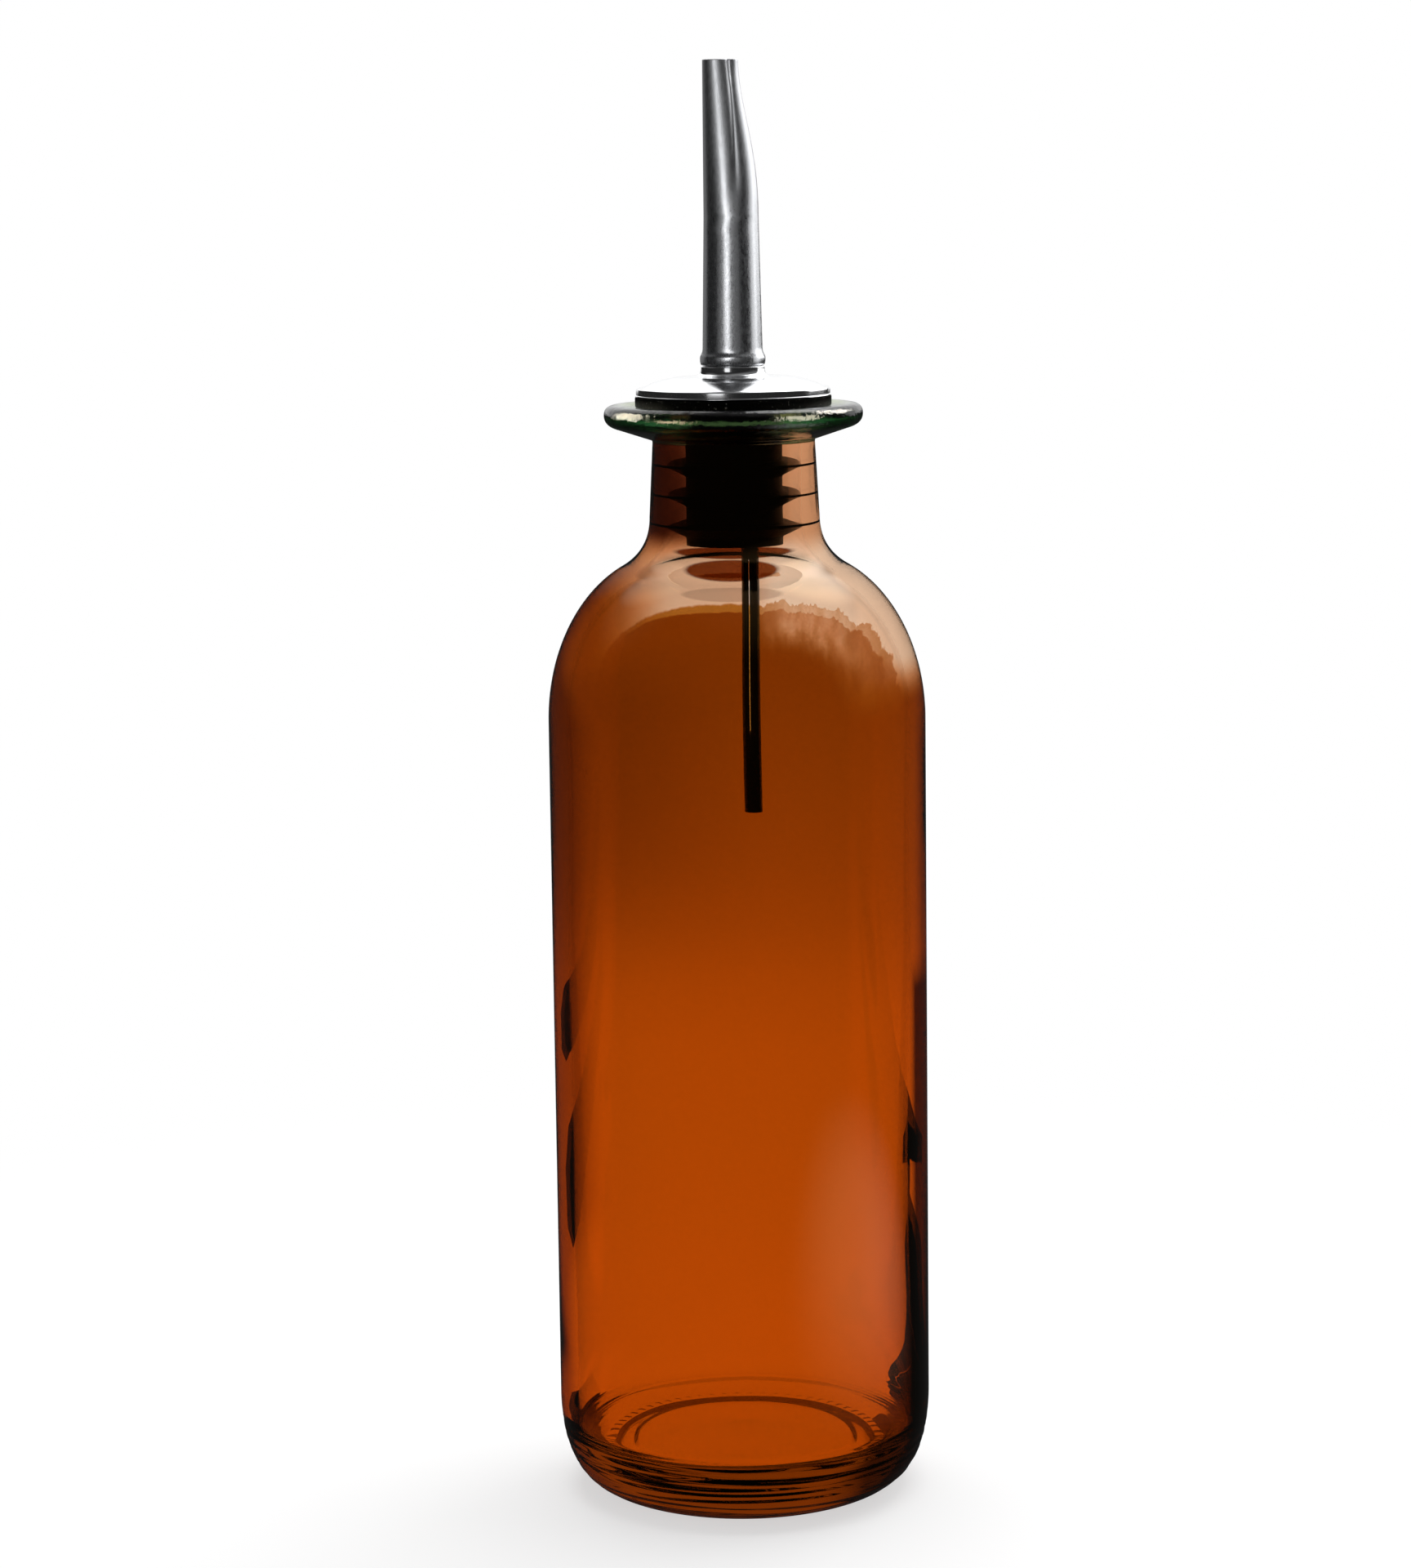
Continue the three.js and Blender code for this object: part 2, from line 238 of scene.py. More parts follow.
level = chosen(tree, patch, (inside, behind), (straight_on, 1.0), (clear, 1.0))
glow = mask(tree, (far, GLOW_START, GLOW_FULL, GLOW_NEAR, 1.0))
share = chosen(tree, 0.0, (clear, 1.0), (outer, 1.0), (inside, 1.0), (straight_on, glow))
lit = add(tree, "ShaderNodeBsdfDiffuse", {"Color": linear("f6f6f6")})
shine = add(tree, "ShaderNodeEmission", {"Color": (1, 1, 1, 1), "Strength": level})
sheet = add(tree, "ShaderNodeMixShader", {0: share, 1: lit.outputs[0], 2: shine.outputs[0]})
add(tree, "ShaderNodeOutputMaterial", {"Surface": sheet.outputs[0]})
print("the paper only glows from", GLOW_FULL / MM, "mm away")

# %% [markdown]
# The sheet itself is one large square, a hair below the bottle's foot, so that the two don't share a plane.
# It could be curved up into a backdrop, but the world already is one. Floor and cards ride on no body,
# because they are no part of the object.

# %% Floor
FLOOR_GAP = 0.15 * MM
FLOOR_HALF_SIDE = 4.0


def stage_piece(name, mesh, material):
    """A bmesh as an object of the studio, which is no part of the bottle."""
    data = bpy.data.meshes.new(name)
    mesh.to_mesh(data)
    mesh.free()
    data.materials.append(material)
    piece = bpy.data.objects.new(name, data)
    scene.collection.objects.link(piece)
    return piece


mesh = bmesh.new()
bmesh.ops.create_grid(mesh, x_segments=1, y_segments=1, size=FLOOR_HALF_SIDE)
bmesh.ops.translate(mesh, verts=mesh.verts, vec=(0, 0, -FLOOR_GAP))
floor = stage_piece("floor", mesh, paper)
print("floor lies", FLOOR_GAP / MM, "mm below the bottle's foot")

# %% [markdown]
# Lamps give the light that falls on the paper and on matt surfaces. Their light is given as brightness,
# where 1 is the white of the backdrop. The panels above already stand for them in mirrors, so the lamps
# don't show there.


# %% Lamps
def soft_lamp(name, brightness, size, place, target, colour=(1, 1, 1)):
    """A rectangular lamp that looks at a point. Brightness times its area and pi is its power."""
    data = bpy.data.lights.new(name, "AREA")
    data.shape = "RECTANGLE"
    data.size, data.size_y = size
    data.color = colour
    data.energy = brightness * size[0] * size[1] * math.pi
    lamp = bpy.data.objects.new(name, data)
    aim = (Vector(target) - Vector(place)).to_track_quat("-Z", "Y")
    lamp.matrix_world = Matrix.Translation(place) @ aim.to_matrix().to_4x4()
    lamp.visible_camera = False
    scene.collection.objects.link(lamp)
    print(name, "gives", round(data.energy, 2), "W")
    return lamp


for lamp in (soft_lamp("overhead_lamp", 5.0, (1.1, 1.0), (0.12, 0.33, 1.25), (0.12, 0.33, 0)),
             soft_lamp("right_lamp", 2.5, (0.95, 0.7), (0.88, 0.72, 0.72), (0, 0, 0.15))):
    lamp.visible_transmission = False
    lamp.visible_glossy = False

# %% [markdown]
# Black cards beside a white backdrop are the glass photographer's way to draw dark edges: the sides of a
# bottle bend light so far that they show what stands well off to the side. These are torn, so that the
# edges that they draw wander. Three stand behind the bottle and two lie at its foot, and only light that
# has come through glass sees them.

# %% Black cards
CARD_DISTANCE = 0.06
black_card, tree = empty_material("black_card")
add(tree, "ShaderNodeOutputMaterial", {
    "Surface": add(tree, "ShaderNodeBsdfDiffuse", {"Color": linear("050505")}).outputs[0]})


def card(name, corners, lift):
    """A black card with its corners in millimetres. It stands behind the bottle, or lies on the floor."""
    mesh = bmesh.new()
    verts = [mesh.verts.new(lift(a * MM, b * MM)) for a, b in corners]
    edges = [mesh.edges.new(pair) for pair in zip(verts, verts[1:] + verts[:1])]
    bmesh.ops.triangle_fill(mesh, edges=edges, use_beauty=True)
    piece = stage_piece(name, mesh, black_card)
    piece.visible_camera = False
    piece.visible_diffuse = False
    piece.visible_glossy = False
    piece.visible_shadow = False
    return piece


def standing(x, z):
    return (x, CARD_DISTANCE, z)


def lying(x, y):
    return (x, y, -FLOOR_GAP / 2)


card("right_card", [
    (92, 46), (70, 44), (58, 43), (57, 38), (90, 35), (90, 28), (66, 25), (59, 22), (60, 13), (58, 9),
    (52, 5), (40, 2), (36, 0), (400, 0), (400, 46)], standing)
card("upper_left_card", [(-76, 70), (-66, 66), (-66, 58), (-78, 54), (-400, 54), (-400, 70)], standing)
card("lower_left_card", [(-80, 42), (-68, 36), (-70, 26), (-86, 20), (-400, 20), (-400, 42)], standing)
card("right_foot_card", [(36, 60), (32, 40), (26, 23), (22, 8), (24, -4), (120, -6), (400, 60)], lying)
card("left_foot_card", [(-24, 8), (-26, 32), (-60, 40), (-90, 20), (-80, -8), (-38, -8)], lying)
print("black cards stand behind the bottle and lie at its foot")

# %% [markdown]
# Every piece of this object but the spout's pinched end is a solid of revolution. Its outline is drawn from
# straight runs and a few Bezier curves in millimetres, radius first and height second, and then spun round
# Z. Modelling with a lathe like this keeps the walls true and the seams closed.


# %% Turning helpers
def curve(controls, steps):
    """Points along a Bezier curve with any number of control points."""
    points = []
    for step in range(steps + 1):
        row = [Vector(control) for control in controls]
        while len(row) > 1:
            row = [a.lerp(b, step / steps) for a, b in zip(row, row[1:])]
        points.append(row[0])
    return points


def straight(start, end, steps):
    """Points along a straight run, without its two ends."""
    return curve([start, end], steps)[1:-1]


def turned(outline, steps, closed, stains=None):
    """A bmesh spun from an outline in millimetres. An open outline starts and ends on the axis. Stains are
    numbers for its points, which the mesh keeps."""
    mesh = bmesh.new()
    stained = mesh.verts.layers.float.new("stained") if stains else None
    verts = [mesh.verts.new((radius * MM, 0, height * MM)) for radius, height in outline]
    for vert, stain in zip(verts, stains or []):
        vert[stained] = stain
    edges = [mesh.edges.new(pair) for pair in zip(verts, verts[1:])]
    if closed:
        edges.append(mesh.edges.new((verts[-1], verts[0])))
    bmesh.ops.spin(mesh, geom=verts + edges, cent=(0, 0, 0), axis=(0, 0, 1),
                   angle=math.tau, steps=steps, use_merge=True)
    bmesh.ops.remove_doubles(mesh, verts=mesh.verts, dist=1e-7)
    bmesh.ops.recalc_face_normals(mesh, faces=mesh.faces)
    return mesh


print("a straight run of 4 steps has", len(straight((0, 0), (1, 0), 4)), "points between its ends")

# %% [markdown]
# Each mesh becomes a piece in the same way. Its faces are shaded smooth but for sharp edges, which could be
# bevelled instead, and three calls tell the frame on which body it rides, which measured node it stands for
# and which finish it has.


# %% Finishing helper
def finished(name, mesh, material, body, node):
    """The bmesh as a smooth piece that rides on a body and stands for a measured node."""
    bmesh.ops.recalc_face_normals(mesh, faces=mesh.faces)
    data = bpy.data.meshes.new(name)
    mesh.to_mesh(data)
    mesh.free()
    data.shade_smooth()
    data.set_sharp_from_angle(angle=math.radians(40))
    data.materials.append(material)
    piece = bpy.data.objects.new(name, data)
    scene.collection.objects.link(piece)
    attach(piece, body)
    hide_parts(node)
    print(name, "has", len(data.polygons), "faces")
    return piece


# %% [markdown]
# The bottle: a round body with a soft heel, an elliptical shoulder and a short neck. A blown wall is never
# even, so the inner face is pushed in and out by a slow noise of a quarter of a millimetre, and cooling
# leaves fine waves round the heel. The ring that it stands on is knurled, so that hot glass doesn't stick
# to the belt.

# %% Bottle sizes and shoulder
BODY_RADIUS, WALL = 31.0, 2.8
HEEL_WIDTH, HEEL_HEIGHT, HEEL_RUN, HEEL_LIFT, HEEL_TURN = 8.6, 16.0, 3.6, 0.9, 3.0
BEARING_WIDTH, KNURL_WIDTH, STEP_IN, PUSH_UP = 0.8, 1.8, 3.1, 1.2
BODY_HEIGHT, SHOULDER_WIDTH, SHOULDER_RISE, SHOULDER_TURN = 129.3, 20.5, 27.5, math.radians(66.7)
NECK_FOOT_RADIUS, NECK_TOP_RADIUS, BORE_RADIUS = 13.9, 13.25, 10.95
FLOOR_HEIGHT, FLOOR_CROWN, FLOOR_FILLET = 10.0, 0.6, 3.0
SEAT = 180.5
LIP_RADIUS, LIP_WIDEST, LIP_CONE_TOP, LIP_CONE_FOOT = 21.1, 179.3, 177.1, 175.4
LIP_EDGE_RADIUS, LIP_ROOT = 19.0, 0.6
COLOUR_CHANGE = 176.0


def shoulder(inset, neck_radius):
    """The shoulder's ellipse, sunk into the glass by an inset, and the fillet into a straight neck."""
    width, rise = SHOULDER_WIDTH - inset, SHOULDER_RISE - inset
    points = []
    for step in range(41):
        angle = SHOULDER_TURN * step / 40
        radius = BODY_RADIUS - SHOULDER_WIDTH + width * math.cos(angle)
        points.append(Vector((radius, BODY_HEIGHT + rise * math.sin(angle))))
    end = points[-1]
    slope = rise * math.cos(SHOULDER_TURN) / (width * math.sin(SHOULDER_TURN))
    corner = Vector((neck_radius, end.y + (end.x - neck_radius) * slope))
    neck = corner + Vector((0, (corner - end).length))
    return points + curve([end, corner, neck], 16)[1:]


bearing_outer = BODY_RADIUS - HEEL_WIDTH
bearing_inner = bearing_outer - BEARING_WIDTH
inner_radius = BODY_RADIUS - WALL
cone_slope = (LIP_EDGE_RADIUS - NECK_TOP_RADIUS - LIP_ROOT) / (LIP_CONE_TOP - LIP_CONE_FOOT)
change_radius = NECK_TOP_RADIUS + LIP_ROOT + (COLOUR_CHANGE - LIP_CONE_FOOT) * cone_slope
root = Vector((NECK_TOP_RADIUS, LIP_CONE_FOOT - LIP_ROOT))
outside = shoulder(0, NECK_FOOT_RADIUS)
inside_curve = shoulder(WALL, BORE_RADIUS)
print("the glass is", WALL, "mm thick, and inside the body has a radius of", inner_radius, "mm")

# %% [markdown]
# The outline could be one long curve. It is joined from runs instead, so that its points lie close where
# the glass turns and far apart where it is straight: from the middle of the underside over the heel and the
# outside to the lip, and back down the inside to the middle of the floor.

# %% Bottle outline
step_radius = bearing_inner - STEP_IN
underside = [
    *curve([(0, PUSH_UP), (step_radius * 0.7, PUSH_UP), (step_radius - 0.4, PUSH_UP - 0.15)], 16),
    *curve([(step_radius, PUSH_UP - 0.4), (step_radius + 0.6, PUSH_UP - 0.5),
            (bearing_inner - 0.3, PUSH_UP - 0.5), (bearing_inner, 0)], 16)]
heel = curve([(bearing_outer, 0), (bearing_outer + HEEL_RUN, HEEL_LIFT), (BODY_RADIUS, HEEL_TURN),
              (BODY_RADIUS, HEEL_HEIGHT)], 60)
lip_root = curve([root, (NECK_TOP_RADIUS, LIP_CONE_FOOT), (NECK_TOP_RADIUS + LIP_ROOT, LIP_CONE_FOOT)], 8)
inner_heel = curve([(inner_radius, FLOOR_HEIGHT + FLOOR_FILLET), (inner_radius, FLOOR_HEIGHT),
                    (inner_radius - FLOOR_FILLET, FLOOR_HEIGHT)], 24)
bottle_outside = [
    *underside, *straight(underside[-1], heel[0], 6), *heel,
    *straight(heel[-1], outside[0], 8), *outside, *straight(outside[-1], root, 8), *lip_root,
    Vector((change_radius, COLOUR_CHANGE))]
bottle_inside = [
    Vector((BORE_RADIUS, COLOUR_CHANGE)), *straight((BORE_RADIUS, COLOUR_CHANGE), inside_curve[-1], 8),
    *reversed(inside_curve),
    *straight(inside_curve[0], inner_heel[0], 30), *inner_heel,
    *straight(inner_heel[-1], (0, FLOOR_HEIGHT + FLOOR_CROWN), 16), Vector((0, FLOOR_HEIGHT + FLOOR_CROWN))]
print("bottle outline has", len(bottle_outside), "points outside and", len(bottle_inside), "inside")

# %% [markdown]
# The bottle is soda-lime glass, blown in a mould and stained amber. All the colour could be in the volume,
# but then it follows the thickness of the wall and nothing else. So the outer face carries the stain, and
# the volume is nearly grey: it only takes light where the glass is thick, which makes the heel brown. The
# eye sees an orange body that is a shade darker in its upper half, and a browner neck.

# %% Amber glass
AMBER_PER_METRE = 60.0
AMBER_TINT = linear("d5dce1")
AMBER_TOP = 160.0
AMBER_BY_HEIGHT = [(30, "e58e32"), (52, "e18d30"), (80, "de8b2f"), (100, "cc802d"), (138, "bc782a")]
NECK_BROWN, NECK_BROWN_FROM = "a77156", (0.154, 0.163)
# The neck's left side is darkened by painted shade.
NECK_PAINTED_SHADE, NECK_SHADE_FROM, NECK_SHADE_LEFT = "b0a09a", (0.156, 0.162), (-0.006, -0.012)
amber_glass, tree = empty_material("amber_soda_lime_glass")
place = add(tree, "ShaderNodeTexCoord").outputs["Object"]
across, deep, height = add(tree, "ShaderNodeSeparateXYZ", {0: place}).outputs
share = add(tree, "ShaderNodeMath", {0: height, 1: AMBER_TOP * MM}, operation="DIVIDE").outputs[0]
by_height = add(tree, "ShaderNodeValToRGB", {"Fac": share})
for up, colour in AMBER_BY_HEIGHT:
    by_height.color_ramp.elements.new(up / AMBER_TOP).color = linear(colour)
for end in (0, -1):
    by_height.color_ramp.elements.remove(by_height.color_ramp.elements[end])
shade = by_height.outputs["Color"]
in_neck = mask(tree, (height, *NECK_BROWN_FROM))
painted_neck_left_shade = mask(tree, (height, *NECK_SHADE_FROM), (across, *NECK_SHADE_LEFT))
for share, colour, blend in ((in_neck, NECK_BROWN, "MIX"), (painted_neck_left_shade, NECK_PAINTED_SHADE, "MULTIPLY")):
    shade = add(tree, "ShaderNodeMix", {
        "Factor": share, 6: shade, 7: linear(colour)}, data_type="RGBA", blend_type=blend).outputs[2]
print("the stain goes from", AMBER_BY_HEIGHT[0][1], "low on the body to", AMBER_BY_HEIGHT[-1][1], "high up")

# %% [markdown]
# Round the shoulder the stain is overlaid by a painted highlight, whose edge looks brushed. A painted picture
# could say where it lies, but a stretched noise that pushes a place about needs no picture. The pattern leans
# and narrows a little from the front wall to the back wall, so that the two agree where one is seen through
# the other.

# %% Brush strokes
BRUSH_MM, BRUSH_STRETCH, WALL_LEAN, WALL_SQUEEZE = 2.2, 2.5, 0.098, -3.1
BRUSH_PUSH = (0.000, 0.006, 1.0 * MM, 5.0 * MM)  # from where to where across, and how far it pushes there
leaned = add(tree, "ShaderNodeMath", {0: deep, 1: WALL_LEAN, 2: height}, operation="MULTIPLY_ADD").outputs[0]
squeeze = add(tree, "ShaderNodeMath", {0: deep, 1: WALL_SQUEEZE, 2: 1.0}, operation="MULTIPLY_ADD").outputs[0]
squeezed = add(tree, "ShaderNodeMath", {0: across, 1: squeeze}, operation="MULTIPLY").outputs[0]
flat = add(tree, "ShaderNodeCombineXYZ", {0: squeezed, 1: leaned}).outputs[0]
brush = add(tree, "ShaderNodeTexNoise", {
    "Vector": add(tree, "ShaderNodeMapping", {"Vector": flat, "Scale": (1, 1 / BRUSH_STRETCH, 1)}).outputs[0],
    "Scale": 1 / (BRUSH_MM * MM), "Detail": 4.0, "Roughness": 0.7}).outputs["Color"]
streaks = add(tree, "ShaderNodeSeparateXYZ", {0: brush}).outputs["Z"]
push = add(tree, "ShaderNodeVectorMath", {0: brush, 1: (0.5, 0.5, 0.5)}, operation="SUBTRACT").outputs[0]
push = add(tree, "ShaderNodeVectorMath", {
    0: push, "Scale": mask(tree, (across, *BRUSH_PUSH))}, operation="SCALE").outputs[0]
brushed = add(tree, "ShaderNodeVectorMath", {0: push, 1: flat}, operation="ADD").outputs[0]
print("brush strokes are about", BRUSH_MM, "mm wide and", BRUSH_MM * BRUSH_STRETCH, "mm long")

# %% [markdown]
# Round the shoulder a painted highlight makes the stain pale, most on the right and up the right of the neck,
# and below it the full colour starts in a dome. Its edge could be drawn point by point, but an oval on the
# brushed places needs only four numbers. To its right the dome is half pale, in streaks of the same brush,
# which is painted highlight too.

# %% Painted highlight on the shoulder
DARK_DOME = (1.5, 128.0, 26.0, 20.4)  # x, height, half width, half height
DOME_INSIDE, DOME_OUTSIDE = 0.97, 1.03
PALE_LEFT = (-0.024, -0.010, 0.0, 0.8)
PALE_RIGHT, PALE_RIM = (0.003, 0.008, 0.0, 0.25), (0.016, 0.026, 0.0, -0.1)
PALE_FROM, NECK_FROM, NECK_PALE = (0.133, 0.141), (0.156, 0.161), (0.004, 0.010, 0.0, 0.6)
HALF_TONE, HALF_TONE_STREAKS = (0.20, 0.62, 0.0, 0.52), (0.36, 0.62, 0.75, 1.15)
HALF_TONE_START, HALF_TONE_END, HALF_TONE_FROM = (0.002, 0.009), (0.024, 0.016, 0.4, 1.0), (0.131, 0.138)


def in_oval(tree, vector, x, up, half_width, half_height):
    """A place as shares of an oval's half width and half height."""
    return add(tree, "ShaderNodeMapping", {
        "Vector": vector, "Location": (x * MM, up * MM, 0),
        "Scale": (half_width * MM, half_height * MM, 1)}, vector_type="TEXTURE").outputs[0]


in_dome = in_oval(tree, brushed, *DARK_DOME)
dome = add(tree, "ShaderNodeVectorMath", {0: in_dome}, operation="ABSOLUTE").outputs[0]
squared = add(tree, "ShaderNodeVectorMath", {0: dome, 1: dome}, operation="MULTIPLY").outputs[0]
off_dome = add(tree, "ShaderNodeVectorMath", {0: squared, 1: dome}, operation="DOT_PRODUCT").outputs["Value"]
painted_highlight = mask(tree, (across, *PALE_LEFT))
for change in (PALE_RIGHT, PALE_RIM):
    painted_highlight = add(tree, "ShaderNodeMath", {0: painted_highlight, 1: mask(tree, (across, *change))}).outputs[0]
below_neck = chosen(tree, 1.0, (mask(tree, (height, *NECK_FROM)), mask(tree, (across, *NECK_PALE))))
painted_highlight = mask(tree, painted_highlight, (off_dome, DOME_INSIDE, DOME_OUTSIDE), (height, *PALE_FROM), below_neck)
half_tone = mask(
    tree, (off_dome, *HALF_TONE), (streaks, *HALF_TONE_STREAKS), (across, *HALF_TONE_START),
    (across, *HALF_TONE_END), (height, *HALF_TONE_FROM), (off_dome, DOME_OUTSIDE, DOME_INSIDE))
painted_highlight = highest(tree, painted_highlight, half_tone)
# These two pale colours are the painted highlight.
for start, colour in ((0.0, "e6b690"), (0.5, "fee5cf")):
    stronger = add(tree, "ShaderNodeMapRange", {"Value": painted_highlight, "From Min": start, "From Max": start + 0.5})
    shade = add(tree, "ShaderNodeMix", {
        "Factor": stronger.outputs[0], 6: shade, 7: linear(colour)}, data_type="RGBA").outputs[2]
print("the dark dome is", 2 * DARK_DOME[2], "mm wide")

# %% [markdown]
# Under the neck the thick glass shows the stopper's dark end as three flat lenses. Here they are painted
# reflections, thin dark ovals on the front wall.
# Before they are added the stain is multiplied with itself, because light crosses two coloured faces of
# each wall in a dipped bottle, and only the outer face has colour here.

# %% Painted dark lenses
PAINTED_DARK_LENSES = [  # x, height, half width, half height, and how dark
    (-0.3, 158.0, 10.4, 1.0, 1.0), (-0.7, 155.4, 8.2, 1.7, 1.0), (-0.7, 152.0, 8.6, 1.1, 0.5)]
PAINTED_LENS_TINT, LENS_END, LENS_FULL, FRONT_WALL = linear("451202"), 1.0, 0.85, (0.001, -0.001)
shade = add(tree, "ShaderNodeMix", {
    "Factor": 1.0, 6: shade, 7: shade}, data_type="RGBA", blend_type="MULTIPLY").outputs[2]
upright = add(tree, "ShaderNodeCombineXYZ", {0: across, 1: height}).outputs[0]
# Each lens is a painted dark reflection of the stopper's end.
for *oval, amount in PAINTED_DARK_LENSES:
    off_lens = add(tree, "ShaderNodeVectorMath", {
        0: in_oval(tree, upright, *oval)}, operation="LENGTH").outputs["Value"]
    lens = mask(tree, (off_lens, LENS_END, LENS_FULL, 0.0, amount), (deep, *FRONT_WALL))
    shade = add(tree, "ShaderNodeMix", {
        "Factor": lens, 6: shade, 7: PAINTED_LENS_TINT}, data_type="RGBA", blend_type="MULTIPLY").outputs[2]
# The thin stain round the shoulder is the painted highlight.
print("the stain is thin round the shoulder, but for", len(PAINTED_DARK_LENSES), "dark lenses")

# %% [markdown]
# Towards its upright edges the stain is seen along its length, so it is darker there. That could be left to
# the volume, which darkens both edges alike. How far a face turns away from the eye is what Layer Weight
# gives. The darkening by it is partly the stain's length and partly painted shade: the left edge goes brown,
# and the right one has a painted black rim that is broader low down. Painted shade also darkens the upper
# left of the body, and paints the heel darkest on the right.

# %% Dark edges and painted shade
LEFT_EDGE, RIGHT_EDGE, PAINTED_RIGHT_RIM_SHADE = linear("9c897c"), linear("fffcf8"), linear("21160d")
LEFT_SHADE, PAINTED_RIGHT_FOOT_SHADE = linear("dddada"), linear("303030")
LEFT_TURN, RIGHT_TURN, OFF_PAINTED_HIGHLIGHT = (0.30, 0.56), (0.45, 0.60), (0.6, 0.0)
SHADE_LEFT, SHADE_FROM, SHADE_TO = (0.010, -0.024), (0.085, 0.115), (0.142, 0.134)
FOOT_RIGHT, FOOT_BELOW, FOOT_TURN, FOOT_FRONT = (0.010, 0.020), (0.018, 0.011), (0.24, 0.40), (0.004, -0.004)
RIGHT_HALF, BELOW_NECK, BELOW_LIP = (-0.010, 0.020), (0.158, 0.152), (0.160, 0.154)
THIN_EDGE_LOW, THIN_EDGE_SHOULDER = (0.055, 0.035, 0.0, 0.2), (0.130, 0.142, 0.0, 0.3)
LOWER_RIM, MIDDLE_RIM, SHOULDER_RIM = (0.57, 0.66), (0.64, 0.80, 0.0, 0.7), (0.84, 0.94)
MIDDLE_FROM, SHOULDER_FROM = (0.086, 0.093), (0.126, 0.140)
facing = add(tree, "ShaderNodeLayerWeight", {"Blend": 0.5}).outputs["Facing"]
right = mask(tree, (across, *RIGHT_HALF))
turned_away = facing
for less in (THIN_EDGE_LOW, THIN_EDGE_SHOULDER):
    turned_away = add(tree, "ShaderNodeMath", {
        0: turned_away, 1: mask(tree, (height, *less))}, operation="SUBTRACT").outputs[0]
edge = chosen(tree, mask(tree, (turned_away, *LEFT_TURN)), (right, mask(tree, (facing, *RIGHT_TURN))))
edge = mask(tree, edge, (height, *BELOW_NECK), (painted_highlight, *OFF_PAINTED_HIGHLIGHT))
# The rim is a painted black shade along the right edge.
rim = chosen(tree, mask(tree, (facing, *LOWER_RIM)),
             (mask(tree, (height, *MIDDLE_FROM)), mask(tree, (facing, *MIDDLE_RIM))),
             (mask(tree, (height, *SHOULDER_FROM)), mask(tree, (facing, *SHOULDER_RIM))))
rim = mask(tree, rim, right, (height, *BELOW_LIP))
# Painted shade on the upper left of the body and on the right of the heel.
painted_upper_left_shade = mask(tree, (across, *SHADE_LEFT), (height, *SHADE_FROM), (height, *SHADE_TO))
painted_right_foot_shade = mask(tree, (across, *FOOT_RIGHT), (height, *FOOT_BELOW), (facing, *FOOT_TURN),
                  (deep, *FOOT_FRONT))
edge_tint = add(tree, "ShaderNodeMix", {
    "Factor": right, 6: LEFT_EDGE, 7: RIGHT_EDGE}, data_type="RGBA").outputs[2]
for share, tint in ((edge, edge_tint), (rim, PAINTED_RIGHT_RIM_SHADE), (painted_upper_left_shade, LEFT_SHADE), (painted_right_foot_shade, PAINTED_RIGHT_FOOT_SHADE)):
    shade = add(tree, "ShaderNodeMix", {
        "Factor": share, 6: shade, 7: tint}, data_type="RGBA", blend_type="MULTIPLY").outputs[2]
print("the right rim sets in where a face has turned away by", LOWER_RIM[0])

# %% [markdown]
# Last come the shader and the depth. The inside of the bottle is clear, so only the points of the outer
# face get the stain. The ripple that the mould left could be modelled, but it is far shallower than a
# pixel, so a slow bump makes the sheen wander.

# %% Glass shader
WARM_SHEEN, MOULD_RIPPLE_MM = linear("ffcb7c"), 9.0
stained = add(tree, "ShaderNodeAttribute", attribute_name="stained").outputs["Fac"]
colour = add(tree, "ShaderNodeMix", {"Factor": stained, 6: (1, 1, 1, 1), 7: shade}, data_type="RGBA")
ripple = add(tree, "ShaderNodeTexNoise", {
    "Vector": place, "Scale": 1 / (MOULD_RIPPLE_MM * MM), "Detail": 2.0, "Roughness": 0.5})
wavy = add(tree, "ShaderNodeBump", {
    "Height": ripple.outputs["Fac"], "Strength": 0.25, "Distance": 0.05 * MM})
glass = add(tree, "ShaderNodeBsdfPrincipled", {
    "Base Color": colour.outputs[2], "Roughness": 0.01, "IOR": 1.52, "Specular Tint": WARM_SHEEN,
    "Transmission Weight": 1.0, "Normal": wavy.outputs["Normal"]})
depth = add(tree, "ShaderNodeVolumeAbsorption", {"Color": AMBER_TINT, "Density": AMBER_PER_METRE})
add(tree, "ShaderNodeOutputMaterial", {"Surface": glass.outputs[0], "Volume": depth.outputs[0]})


def through_glass(tint, per_metre, millimetres):
    """The shares of red, green and blue that a tinted volume lets through."""
    return [round(math.exp(-per_metre * (1 - c) * millimetres * MM), 3) for c in tint[:3]]


print("the volume lets through in 5 mm:", through_glass(AMBER_TINT, AMBER_PER_METRE, 5))

# %% [markdown]
# Blowing and cooling leave waves in glass. A displacement modifier could make them, but each kind belongs
# to one face only, so a small function moves one vertex in or out by a noise that runs round the bottle.


# %% Waves in the glass
def mix(start, end, share):
    return start + (end - start) * share


def smooth_step(low, high, value):
    share = min(1.0, max(0.0, (value - low) / (high - low)))
    return share * share * (3 - 2 * share)


def outer_radius(height):
    """The bottle's outer radius on its body and shoulder."""
    if height <= BODY_HEIGHT:
        return BODY_RADIUS
    share = min(1.0, (height - BODY_HEIGHT) / SHOULDER_RISE)
    return BODY_RADIUS - SHOULDER_WIDTH + SHOULDER_WIDTH * math.sqrt(1 - share * share)


